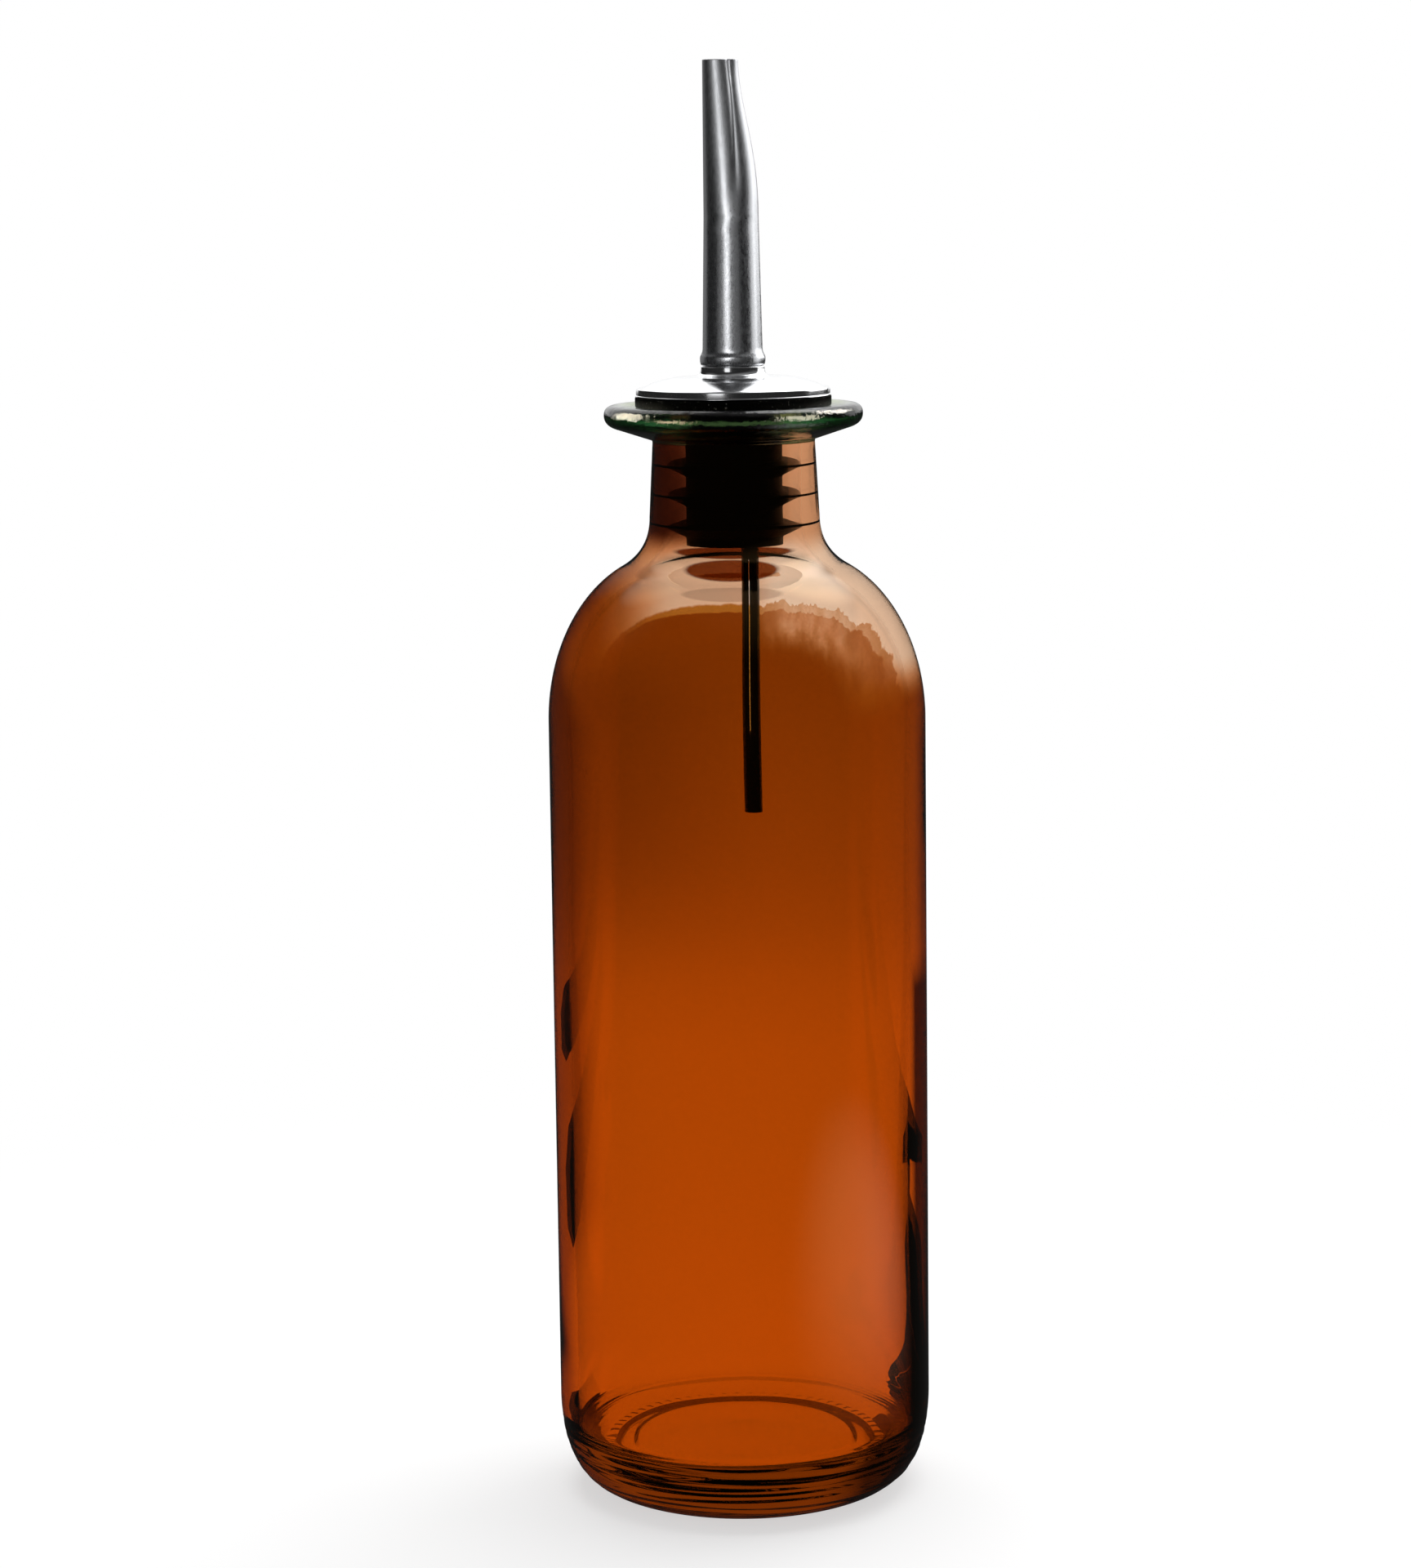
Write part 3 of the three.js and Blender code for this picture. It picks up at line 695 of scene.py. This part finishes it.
def wave(vert, radius, height, angle, depth, lean, around, spacing, fade_in, fade_out):
    """Moves a vertex in or out by a noise that runs round the bottle."""
    fade = smooth_step(*fade_in, height) * (1 - smooth_step(*fade_out, height))
    if fade > 0:
        spot = Vector((around * math.cos(angle), around * math.sin(angle), height / spacing))
        push = 1 + fade * depth * (noise.noise(spot) - lean) / radius
        vert.co.x *= push
        vert.co.y *= push


print("20 mm up the shoulder the outer radius is", round(outer_radius(BODY_HEIGHT + 20), 1), "mm")

# %% [markdown]
# Now the outline is spun into one closed shell, and its outer points carry the stain. The knurls could be
# cut with a boolean, but a vertex of the ring only has to move up a little. After them come fine waves on
# the heel and slow waves on the inner wall.

# %% Bottle glass
BOTTLE_STEPS = 256
KNURL_COUNT, KNURL_DEPTH, KNURL_REACH = 64, 0.35, 0.6
HEEL_WAVE = (0.16, 0.5, 1.2, 0.7, (0.8, 2.0), (9, 15))  # depth, lean inwards, waves round, spacing up, then
WALL_WAVE = (0.22, 0.0, 1.6, 34, (16, 30), (138, 150))  # the heights where it fades in and fades out
mesh = turned(bottle_outside + bottle_inside, BOTTLE_STEPS, closed=False,
              stains=[1.0] * len(bottle_outside) + [0.0] * len(bottle_inside))
for vert in mesh.verts:
    radius, height = vert.co.xy.length / MM, vert.co.z / MM
    angle = math.atan2(vert.co.y, vert.co.x)
    if height < KNURL_REACH and 0 < radius - bearing_inner < KNURL_WIDTH:
        across = math.sin(math.pi * (radius - bearing_inner) / KNURL_WIDTH)
        vert.co.z += KNURL_DEPTH * MM * across * (0.5 - 0.5 * math.cos(KNURL_COUNT * angle))
    if radius > bearing_outer:
        wave(vert, radius, height, angle, *HEEL_WAVE)
    if radius < outer_radius(height) - WALL / 2:
        wave(vert, radius, height, angle, *WALL_WAVE)
finished("bottle_glass", mesh, amber_glass, "bottle", "bottle")

# %% [markdown]
# The lip is thick, nearly clear glass with the green that iron gives it. It is one with the bottle on the
# real object, but a colour inside glass belongs to a whole mesh, so the lip is a piece of its own that
# sinks a hair into the neck. Its face was fire-polished and is rippled, which breaks what it mirrors into
# patches.

# %% Green lip glass
GREEN_PER_METRE, GREEN_TINT, LIP_RIPPLE_MM = 160.0, linear("59b37c"), 2.2
# The beige top of the lip is a painted reflection of the pale backdrop.
LIP_FACE, LIP_TOP_PAINTED_REFLECTION, LIP_TOP_FROM = "f0fff0", "f6cdb2", (0.1785, 0.1805)
green_glass, tree = empty_material("green_soda_lime_glass")
place = add(tree, "ShaderNodeTexCoord").outputs["Object"]
ripple = add(tree, "ShaderNodeTexNoise", {
    "Vector": place, "Scale": 1 / (LIP_RIPPLE_MM * MM), "Detail": 4.0, "Roughness": 0.65})
wavy = add(tree, "ShaderNodeBump", {
    "Height": ripple.outputs["Fac"], "Strength": 0.7, "Distance": 0.3 * MM})
height = add(tree, "ShaderNodeSeparateXYZ", {0: place}).outputs["Z"]
tint = add(tree, "ShaderNodeMix", {
    "Factor": mask(tree, (height, *LIP_TOP_FROM)), 6: linear(LIP_FACE), 7: linear(LIP_TOP_PAINTED_REFLECTION)}, data_type="RGBA")
glass = add(tree, "ShaderNodeBsdfPrincipled", {
    "Base Color": tint.outputs[2], "Roughness": 0.01, "IOR": 1.52,
    "Transmission Weight": 1.0, "Normal": wavy.outputs["Normal"]})
depth = add(tree, "ShaderNodeVolumeAbsorption", {"Color": GREEN_TINT, "Density": GREEN_PER_METRE})
add(tree, "ShaderNodeOutputMaterial", {"Surface": glass.outputs[0], "Volume": depth.outputs[0]})
print("the green lets through in 5 mm:", through_glass(GREEN_TINT, GREEN_PER_METRE, 5))

# %% [markdown]
# Its outline runs from the cone under the lip, round the wide edge and over a low crest, down to the flat
# seat and into the mouth. It could be a bevelled ring, but four curves give the soft edge at once.

# %% Bottle lip
LIP_OVERLAP, LIP_RISE, SEAT_RADIUS, MOUTH_ROUND = 0.02, 0.45, 16.7, 1.0
crest = SEAT + LIP_RISE
crest_radius = SEAT_RADIUS + 0.55 * (LIP_RADIUS - SEAT_RADIUS)
slope_radius = (SEAT_RADIUS + crest_radius) / 2
lip_foot = COLOUR_CHANGE - LIP_OVERLAP
lip_outline = [
    Vector((change_radius - LIP_OVERLAP * cone_slope, lip_foot)),
    *curve([(LIP_EDGE_RADIUS, LIP_CONE_TOP), (LIP_RADIUS, LIP_CONE_TOP + 0.25 * (LIP_WIDEST - LIP_CONE_TOP)),
            (LIP_RADIUS, LIP_WIDEST)], 14),
    *curve([(LIP_RADIUS, LIP_WIDEST), (LIP_RADIUS, crest), (crest_radius, crest)], 14)[1:],
    *curve([(crest_radius, crest), (slope_radius, crest), (slope_radius, SEAT), (SEAT_RADIUS, SEAT)], 12)[1:],
    *curve([(BORE_RADIUS + MOUTH_ROUND, SEAT), (BORE_RADIUS, SEAT), (BORE_RADIUS, SEAT - MOUTH_ROUND)], 10),
    Vector((BORE_RADIUS, lip_foot))]
mesh = turned(lip_outline, BOTTLE_STEPS, closed=True)
bottle_lip = finished("bottle_lip", mesh, green_glass, "bottle", "bottle")

# %% [markdown]
# The stopper is moulded black rubber. Rubber is never quite clean: dust and tiny scuffs show as grey specks
# on its flange, so a fine noise with a hard threshold lightens the colour and dulls the gloss there.

# %% Black rubber
DUST_MM = 0.45
black_rubber, tree = empty_material("black_moulded_rubber")
place = add(tree, "ShaderNodeTexCoord").outputs["Object"]
dust = add(tree, "ShaderNodeTexNoise", {
    "Vector": place, "Scale": 1 / (DUST_MM * MM), "Detail": 3.0, "Roughness": 0.65})
specks = add(tree, "ShaderNodeMapRange", {
    "Value": dust.outputs["Fac"], "From Min": 0.62, "From Max": 0.75})
height = add(tree, "ShaderNodeSeparateXYZ", {0: place}).outputs["Z"]
on_flange = add(tree, "ShaderNodeMath", {
    0: specks.outputs["Result"], 1: mask(tree, (height, (SEAT - 1) * MM, SEAT * MM))}, operation="MULTIPLY")
colour = add(tree, "ShaderNodeMix", {
    "Factor": on_flange.outputs[0], 6: linear("030303"), 7: linear("6f6d6a")}, data_type="RGBA")
gloss = add(tree, "ShaderNodeMapRange", {
    "Value": dust.outputs["Fac"], "From Min": 0.3, "From Max": 0.7, "To Min": 0.38, "To Max": 0.62})
grain = add(tree, "ShaderNodeBump", {"Height": dust.outputs["Fac"], "Strength": 0.3, "Distance": 0.04 * MM})
rubber = add(tree, "ShaderNodeBsdfPrincipled", {
    "Base Color": colour.outputs[2], "Roughness": gloss.outputs["Result"], "IOR": 1.52,
    "Specular IOR Level": 0.08, "Normal": grain.outputs["Normal"]})
add(tree, "ShaderNodeOutputMaterial", {"Surface": rubber.outputs[0]})
print("dust specks are about", DUST_MM, "mm")

# %% [markdown]
# A fin is flat on top, thin at its edge and conical below, so that it folds up as it is pushed in and holds
# when it is pulled. Its edge presses on the glass, which is why each fin shows as a thin dark line right
# across the wall of the neck. Corners get a small curve each, because moulded rubber has no sharp edges.


# %% Stopper
def eased(points, size, steps=4):
    """A closed outline with each corner rounded: it is cut off by a curve that starts a size away from it."""
    outline = []
    count = len(points)
    for index in range(count):
        before, corner, after = (Vector(points[(index + k) % count]) for k in (-1, 0, 1))
        reach = min(size, (before - corner).length * 0.45, (after - corner).length * 0.45)
        start = corner + (before - corner).normalized() * reach
        end = corner + (after - corner).normalized() * reach
        outline += curve([start, corner, end], steps)
    return outline


REST_GAP, FIT_GAP = 0.1, 0.15
CORE_RADIUS, FLANGE_RADIUS, FLANGE_THICKNESS, STOPPER_DEPTH = 7.9, 16.0, 1.7, 22.8
FIN_COUNT, FIN_PITCH, FIRST_FIN, FIN_EDGE, FIN_ROOT, FIN_PRESS = 3, 4.85, 9.1, 0.5, 2.3, 0.04
SHANK_RADIUS, FLARE_WIDTH, FLARE_THICKNESS, FLARE_RECESS = 4.6, 0.9, 0.8, 1.0
flange_foot = SEAT + REST_GAP
flange_top = flange_foot + FLANGE_THICKNESS
stopper_end = SEAT - STOPPER_DEPTH
hole_radius = SHANK_RADIUS + FIT_GAP
recess_radius = SHANK_RADIUS + FLARE_WIDTH + FIT_GAP
shank_end = stopper_end + FLARE_RECESS
recess_top = shank_end + FLARE_THICKNESS + REST_GAP


def bore_radius(height):
    """The neck's inner radius at a height, from the points of the inner shoulder."""
    for low, high in zip(inside_curve, inside_curve[1:]):
        if low.y <= height <= high.y:
            return mix(low.x, high.x, (height - low.y) / (high.y - low.y))
    return BORE_RADIUS


stopper_outline = [(recess_radius, stopper_end), (CORE_RADIUS, stopper_end)]
for fin in reversed(range(FIN_COUNT)):
    top = SEAT - FIRST_FIN - fin * FIN_PITCH
    fin_radius = bore_radius(top - FIN_EDGE) + FIN_PRESS
    stopper_outline += [(CORE_RADIUS, top - FIN_ROOT), (fin_radius, top - FIN_EDGE), (fin_radius, top),
                        (CORE_RADIUS, top)]
stopper_outline += [(CORE_RADIUS, flange_foot), (FLANGE_RADIUS, flange_foot), (FLANGE_RADIUS, flange_top),
                    (hole_radius, flange_top), (hole_radius, recess_top), (recess_radius, recess_top)]
mesh = turned(eased(stopper_outline, 0.3), 160, closed=True)
finished("rubber_stopper", mesh, black_rubber, "stopper", "stopper")

# %% [markdown]
# The cap is pressed from stainless sheet and polished. Polished steel has hardly a colour of its own, only
# what it mirrors, so its finish is in small things: wiping marks that change the gloss and a trace of
# unevenness.

# %% Polished steel
WIPING_MM = 2.5
polished_steel, tree = empty_material("polished_stainless_steel")
place = add(tree, "ShaderNodeTexCoord").outputs["Object"]
wiping = add(tree, "ShaderNodeTexNoise", {"Vector": place, "Scale": 1 / (WIPING_MM * MM), "Detail": 4.0})
gloss = add(tree, "ShaderNodeMapRange", {
    "Value": wiping.outputs["Fac"], "From Min": 0.3, "From Max": 0.7, "To Min": 0.10, "To Max": 0.20})
uneven = add(tree, "ShaderNodeBump", {
    "Height": wiping.outputs["Fac"], "Strength": 0.05, "Distance": 0.03 * MM})
tone = add(tree, "ShaderNodeMix", {
    "Factor": wiping.outputs["Fac"], 6: linear("d9dbde"), 7: linear("e6e6e6")}, data_type="RGBA")
steel = add(tree, "ShaderNodeBsdfPrincipled", {
    "Base Color": tone.outputs[2], "Metallic": 1.0, "Roughness": gloss.outputs["Result"],
    "Normal": uneven.outputs["Normal"]})
add(tree, "ShaderNodeOutputMaterial", {"Surface": steel.outputs[0]})
print("wiping marks are about", WIPING_MM, "mm")

# %% [markdown]
# The cap could be a solid disc. It is drawn as sheet instead, one surface above and the same one sunk by
# the sheet's thickness below, because its rolled rim shows that thickness.

# %% Pressed cap
SHEET = 0.5
RIM_WIDTH, RIM_HEIGHT, RIM_GROOVE, RIM_FOOT = 1.0, 1.25, 0.12, 0.2
RIM_STEP, RIM_ROUND, RIM_CREST, RIM_EASE = 0.2, 0.35, 0.5, 0.8
DOME_WIDTH, DOME_RISE, NECK_FILLET, COLLAR_HEIGHT, COLLAR_ROUND = 8.4, 1.85, 1.3, 1.6, 0.2
cap_foot = flange_top + REST_GAP
rim_top = cap_foot + RIM_HEIGHT
dome_top = rim_top + DOME_RISE
collar_top = dome_top + COLLAR_HEIGHT


def cap_surface(inset):
    """The pressed sheet from the rim's foot up to the collar's top, sunk into the steel by an inset."""
    rim = FLANGE_RADIUS - inset
    step, crest, ease = rim - RIM_STEP, rim - RIM_CREST, rim - RIM_EASE
    foot = FLANGE_RADIUS - RIM_WIDTH
    level = foot - DOME_WIDTH
    collar = hole_radius + SHEET - inset
    top, dome = rim_top - inset, dome_top - inset
    groove, collar_round = top - RIM_GROOVE, collar - COLLAR_ROUND
    return [
        *curve([(rim, cap_foot), (rim, cap_foot + RIM_FOOT), (step, cap_foot + RIM_FOOT)], 4),
        *curve([(step, top - RIM_ROUND), (step, top), (crest, top)], 8),
        *curve([(crest, top), (ease, top), (foot + 0.1, groove), (foot, groove)], 6)[1:],
        *curve([(foot, groove), (foot - 1.4, dome - 0.9), (foot - 4.5, dome), (level, dome)], 28)[1:],
        *curve([(collar + NECK_FILLET, dome), (collar, dome), (collar, dome + NECK_FILLET)], 10),
        *curve([(collar, collar_top - COLLAR_ROUND), (collar, collar_top), (collar_round, collar_top)], 5)]


cap_outline = cap_surface(0) + cap_surface(SHEET)[::-1]
mesh = turned(cap_outline, 192, closed=True)
pressed_cap = finished("pressed_cap", mesh, polished_steel, "spout", "flange_cap")

# %% [markdown]
# The spout is drawn stainless tube with a satin finish. Its grain is a fine speckle, a little longer up and
# down the tube than across it. The real grit is finer than a pixel, so it is drawn at a third of a
# millimetre to show. Handling has left the upper end duller.

# %% Satin steel
GRIT_MM, GRIT_STRETCH = 0.3, 3.0
DULL_END = (0.200, 0.232, 0.0, 0.14)  # from where to where up, and how much rougher there
satin_steel, tree = empty_material("satin_stainless_steel")
place = add(tree, "ShaderNodeTexCoord").outputs["Object"]
along = add(tree, "ShaderNodeMapping", {"Vector": place, "Scale": (1, 1, 1 / GRIT_STRETCH)})
grit = add(tree, "ShaderNodeTexNoise", {
    "Vector": along.outputs[0], "Scale": 1 / (GRIT_MM * MM), "Detail": 4.0, "Roughness": 0.7})
gloss = add(tree, "ShaderNodeMapRange", {
    "Value": grit.outputs["Fac"], "From Min": 0.3, "From Max": 0.7, "To Min": 0.2, "To Max": 0.36})
height = add(tree, "ShaderNodeSeparateXYZ", {0: place}).outputs["Z"]
duller = add(tree, "ShaderNodeMath", {0: gloss.outputs["Result"], 1: mask(tree, (height, *DULL_END))})
rough = add(tree, "ShaderNodeBump", {"Height": grit.outputs["Fac"], "Strength": 0.35, "Distance": 0.03 * MM})
tone = add(tree, "ShaderNodeMix", {
    "Factor": grit.outputs["Fac"], 6: linear("9a9ca0"), 7: linear("d0d1d3")}, data_type="RGBA")
steel = add(tree, "ShaderNodeBsdfPrincipled", {
    "Base Color": tone.outputs[2], "Metallic": 1.0, "Roughness": duller.outputs[0],
    "Normal": rough.outputs["Normal"]})
add(tree, "ShaderNodeOutputMaterial", {"Surface": steel.outputs[0]})
print("grit is", GRIT_MM, "mm wide and", GRIT_MM * GRIT_STRETCH, "mm long")

# %% [markdown]
# Towards its tip the tube is squeezed into two round lobes that share a crease, a wide one for the oil and
# a narrow one for the air. Drawn sections could be bridged, but moving each ring of a straight tube out to
# the farther of the two lobes keeps its wall. A soft maximum leaves a small curve in the crease, as a press
# tool does, and the outer face gets a shallow groove along it.

# %% Pinched tip
TUBE_WALL = 0.5
BEAD_HEIGHT, BEAD_RISE, BEAD_MIDDLE, BASE_RADIUS, SPOUT_LENGTH = 2.8, 0.46, 1.1, 4.87, 46.2
PINCH_LENGTH, PINCH_START_RADIUS = 25.2, 4.45
POUR_TIP_RADIUS, VENT_TIP_RADIUS, TIP_LEFT, TIP_RIGHT = 2.3, 1.5, 4.36, 1.42
CREASE_SOFTNESS, CREASE_DEPTH, CREASE_WIDTH = 0.07, 0.14, 0.2
bead_foot = collar_top + REST_GAP
bead_top = bead_foot + BEAD_HEIGHT
spout_tip = bead_top + SPOUT_LENGTH
pinch_start = spout_tip - PINCH_LENGTH
shank_bore = SHANK_RADIUS - TUBE_WALL
flare_radius = SHANK_RADIUS + FLARE_WIDTH
flare_top = shank_end + FLARE_THICKNESS


def lobes(share, inset):
    """Centres and radii of the pour and vent lobes at a share of the way up the pinch, and the crease's x."""
    lean = smooth_step(0, 1, share ** 1.25)
    pour_radius = mix(PINCH_START_RADIUS, POUR_TIP_RADIUS, share)
    vent_radius = mix(PINCH_START_RADIUS, VENT_TIP_RADIUS, share)
    pour = (pour_radius - mix(PINCH_START_RADIUS, TIP_LEFT, share), pour_radius - inset)
    vent = (mix(PINCH_START_RADIUS, TIP_RIGHT, lean) - vent_radius, vent_radius - inset)
    apart = vent[0] - pour[0]
    crease = pour[0] + (apart ** 2 + pour[1] ** 2 - vent[1] ** 2) / (2 * apart)
    return pour, vent, crease


def reach(lobe, crease, cosine):
    """How far a line from the crease runs before it leaves a lobe."""
    offset = crease - lobe[0]
    return math.sqrt(lobe[1] ** 2 - offset ** 2 * (1 - cosine ** 2)) - offset * cosine


def pinch(mesh):
    """Moves the rings of the tube above the pinch's start out to the lobes."""
    for vert in mesh.verts:
        share = (vert.co.z / MM - pinch_start) / PINCH_LENGTH
        if share <= 0:
            continue
        radius = vert.co.xy.length / MM
        cosine, sine = vert.co.x / MM / radius, vert.co.y / MM / radius
        pour, vent, crease = lobes(max(share, 1e-3), PINCH_START_RADIUS - radius)
        a, b = reach(pour, crease, cosine), reach(vent, crease, cosine)
        softness = CREASE_SOFTNESS * smooth_step(0, 0.15, share)
        far = (a + b + math.sqrt((a - b) ** 2 + softness ** 2)) / 2
        if radius > PINCH_START_RADIUS - TUBE_WALL / 2:
            far -= CREASE_DEPTH * smooth_step(0, 0.3, share) * math.exp(-((a - b) / CREASE_WIDTH) ** 2)
        vert.co.x, vert.co.y = (crease + far * cosine) * MM, far * sine * MM


print("at the tip the lobes have radii of", POUR_TIP_RADIUS, "and", VENT_TIP_RADIUS, "mm")

# %% [markdown]
# The outline of the spout runs from the flared end under the stopper up the shank, over the bead and on to
# the tip, and back down the bore. The bead could be a ring of its own, but it is rolled from the same tube.
# The tube is spun straight, with a ring every half millimetre in its upper part, and then pinched.

# %% Spout
bead = BASE_RADIUS + BEAD_RISE
bead_middle = bead_foot + BEAD_MIDDLE
tip_round = TUBE_WALL * 0.3
tip_edge = spout_tip - tip_round
tip_outer, tip_inner = PINCH_START_RADIUS, PINCH_START_RADIUS - TUBE_WALL
spout_outline = [
    *eased([(shank_bore, flare_top), (shank_bore, shank_end), (flare_radius, shank_end),
            (flare_radius, flare_top - REST_GAP), (SHANK_RADIUS, flare_top),
            (SHANK_RADIUS, bead_foot)], 0.15)[5:-5],
    Vector((SHANK_RADIUS, bead_foot)),
    *curve([(BASE_RADIUS, bead_foot), (bead - 0.1, bead_foot), (bead, bead_foot + 0.4),
            (bead, bead_middle)], 10),
    *curve([(bead, bead_middle), (bead, bead_middle + 0.75), (BASE_RADIUS, bead_middle + 0.6),
            (BASE_RADIUS, bead_top + 0.2)], 14)[1:],
    *straight((BASE_RADIUS, bead_top + 0.2), (tip_outer, pinch_start), 12),
    *straight((tip_outer, pinch_start - 0.2), (tip_outer, tip_edge), 52),
    *curve([(tip_outer, tip_edge), (tip_outer, spout_tip), (tip_outer - tip_round, spout_tip)], 4),
    *curve([(tip_inner + tip_round, spout_tip), (tip_inner, spout_tip), (tip_inner, tip_edge)], 4),
    *straight((tip_inner, tip_edge), (tip_inner, pinch_start), 52), Vector((tip_inner, pinch_start)),
    Vector((BASE_RADIUS - TUBE_WALL, bead_top)), Vector((shank_bore, bead_foot))]
mesh = turned(spout_outline, 256, closed=True)
pinch(mesh)
pour_spout = finished("pour_spout", mesh, satin_steel, "spout", "spout")

# %% [markdown]
# Two thin tubes let air in while oil runs out: a steel one inside the spout, and a black plastic one that
# is pushed over its lower end and hangs into the bottle. Extruded plastic is a little lumpy, which breaks
# its highlight up.

# %% Black plastic
LUMP_MM = 2.2
black_plastic, tree = empty_material("black_extruded_plastic")
place = add(tree, "ShaderNodeTexCoord").outputs["Object"]
lumps = add(tree, "ShaderNodeTexNoise", {"Vector": place, "Scale": 1 / (LUMP_MM * MM), "Detail": 3.0})
colour = add(tree, "ShaderNodeMix", {
    "Factor": lumps.outputs["Fac"], 6: linear("020202"), 7: linear("070606")}, data_type="RGBA")
gloss = add(tree, "ShaderNodeMapRange", {
    "Value": lumps.outputs["Fac"], "From Min": 0.3, "From Max": 0.7, "To Min": 0.05, "To Max": 0.10})
bumps = add(tree, "ShaderNodeBump", {"Height": lumps.outputs["Fac"], "Strength": 0.3, "Distance": 0.06 * MM})
plastic = add(tree, "ShaderNodeBsdfPrincipled", {
    "Base Color": colour.outputs[2], "Roughness": gloss.outputs["Result"], "IOR": 1.5,
    "Normal": bumps.outputs["Normal"]})
add(tree, "ShaderNodeOutputMaterial", {"Surface": plastic.outputs[0]})
print("lumps in the plastic are about", LUMP_MM, "mm")

# %% [markdown]
# Each tube is a small ring outline with eased ends, spun round the axis and then moved beside the pour
# channel. A curve with a bevel would do as well, but this one has a bore and closed ends.

# %% Air tubes
VENT_RADIUS, VENT_WALL, VENT_TOP_IN_PINCH = 1.0, 0.3, 7.0
BREATHER_RADIUS, BREATHER_BELOW, TUBE_OVERLAP, BREATHER_IN_STOPPER = 1.45, 43.7, 11.0, 18.0
_, vent_lobe, _ = lobes(VENT_TOP_IN_PINCH / PINCH_LENGTH, TUBE_WALL)
tubes_x = min(vent_lobe[0] + vent_lobe[1] - VENT_RADIUS, shank_bore - BREATHER_RADIUS) - FIT_GAP
breather_top = stopper_end + BREATHER_IN_STOPPER


def tube(outer, inner, bottom, top):
    """A straight tube with eased ends, beside the pour channel."""
    ends = eased([(inner, bottom), (outer, bottom), (outer, top), (inner, top)], 0.12)
    mesh = turned(ends, 48, closed=True)
    bmesh.ops.translate(mesh, verts=mesh.verts, vec=(tubes_x * MM, 0, 0))
    return mesh


vent_top = pinch_start + VENT_TOP_IN_PINCH
mesh = tube(VENT_RADIUS, VENT_RADIUS - VENT_WALL, breather_top - TUBE_OVERLAP, vent_top)
finished("air_vent_tube", mesh, satin_steel, "spout", "vent_tube")
mesh = tube(BREATHER_RADIUS, VENT_RADIUS + FIT_GAP, stopper_end - BREATHER_BELOW, breather_top)
breather_hose = finished("breather_hose", mesh, black_plastic, "spout", "breather_tube")

# %% [markdown]
# Steel, lip and hose want different light. A photographer takes one picture for each and joins them, and
# here a lamp can be linked to the pieces that it lights. A strip beside the camera draws the bright line
# down the spout, and a panel on the right brightens that side. Beige and green boxes and the backdrop give
# the lip its patches, and a needle of light inside the bottle draws the line down the hose.


# %% Linked lamps
def link(name, pieces, lamps):
    """Lamps that light only the pieces, and that no light through glass can see."""
    receivers = bpy.data.collections.new(name)
    for piece in pieces:
        receivers.objects.link(piece)
    for lamp in lamps:
        lamp.light_linking.receiver_collection = receivers
        lamp.visible_transmission = False


link("spout_pieces", [pour_spout], [
    soft_lamp("strip_lamp", 3.6, (0.20, 0.30), (-0.22, -0.58, 0.325), (-0.1, 0, 0.325)),
    soft_lamp("upper_strip", 1.8, (0.20, 0.20), (-0.08, -0.60, 0.46), (0, 0, 0.25)),
    soft_lamp("front_fill", 0.18, (2.4, 1.2), (-0.3, -1.2, 0.3), (0, 0, 0.21)),
    soft_lamp("right_front_panel", 1.3, (0.45, 0.60), (0.80, 0.08, 0.30), (0, 0, 0.21)),
    soft_lamp("left_panel", 0.25, (1.0, 0.8), (-0.65, 0.9, 0.30), (0, 0, 0.21))])
link("steel_pieces", [pressed_cap, pour_spout], [
    soft_lamp("side_panel", 2.3, (0.95, 0.7), (0.88, 0.62, 0.53), (0, 0, 0.53)),
    soft_lamp("dome_panel", 1.3, (2.4, 1.3), (0.2, 0.85, 1.05), (0, 0, 0.18))])
link("cap_pieces", [pressed_cap], [
    soft_lamp("cap_strip", 1.3, (0.20, 0.30), (-0.22, -0.58, 0.325), (-0.1, 0, 0.325)),
    soft_lamp("cap_backdrop", 1.0, (1.0, 0.4), (0, 1.0, 0.33), (0, 0, 0.19))])
link("lip_pieces", [bottle_lip], [
    soft_lamp("left_box", 12.0, (0.50, 0.55), (-0.72, 0.25, 0.36), (0, 0, 0.18), (1.0, 0.92, 0.70)),
    soft_lamp("right_box", 12.0, (0.50, 0.45), (0.70, -0.40, 0.32), (0, 0, 0.18), (1.0, 0.92, 0.70)),
    soft_lamp("high_right_box", 12.0, (0.50, 0.40), (0.62, 0.30, 0.62), (0, 0, 0.18), (1.0, 0.95, 0.85)),
    soft_lamp("low_left_box", 12.0, (0.30, 0.30), (-0.55, -0.35, 0.02), (0, 0, 0.178), (1.0, 0.72, 0.48)),
    soft_lamp("green_box", 2.2, (0.60, 0.25), (0, -0.26, 0.05), (0, 0, 0.178), (0.28, 0.55, 0.18)),
    soft_lamp("lip_backdrop", 0.8, (4.0, 1.2), (0, 1.0, 0.78), (0, 0, 0.70))])
link("hose_pieces", [breather_hose], [
    soft_lamp("hose_needle", 60.0, (0.001, 0.036), (-0.003, -0.0165, 0.142), (tubes_x * MM, 0, 0.142))])
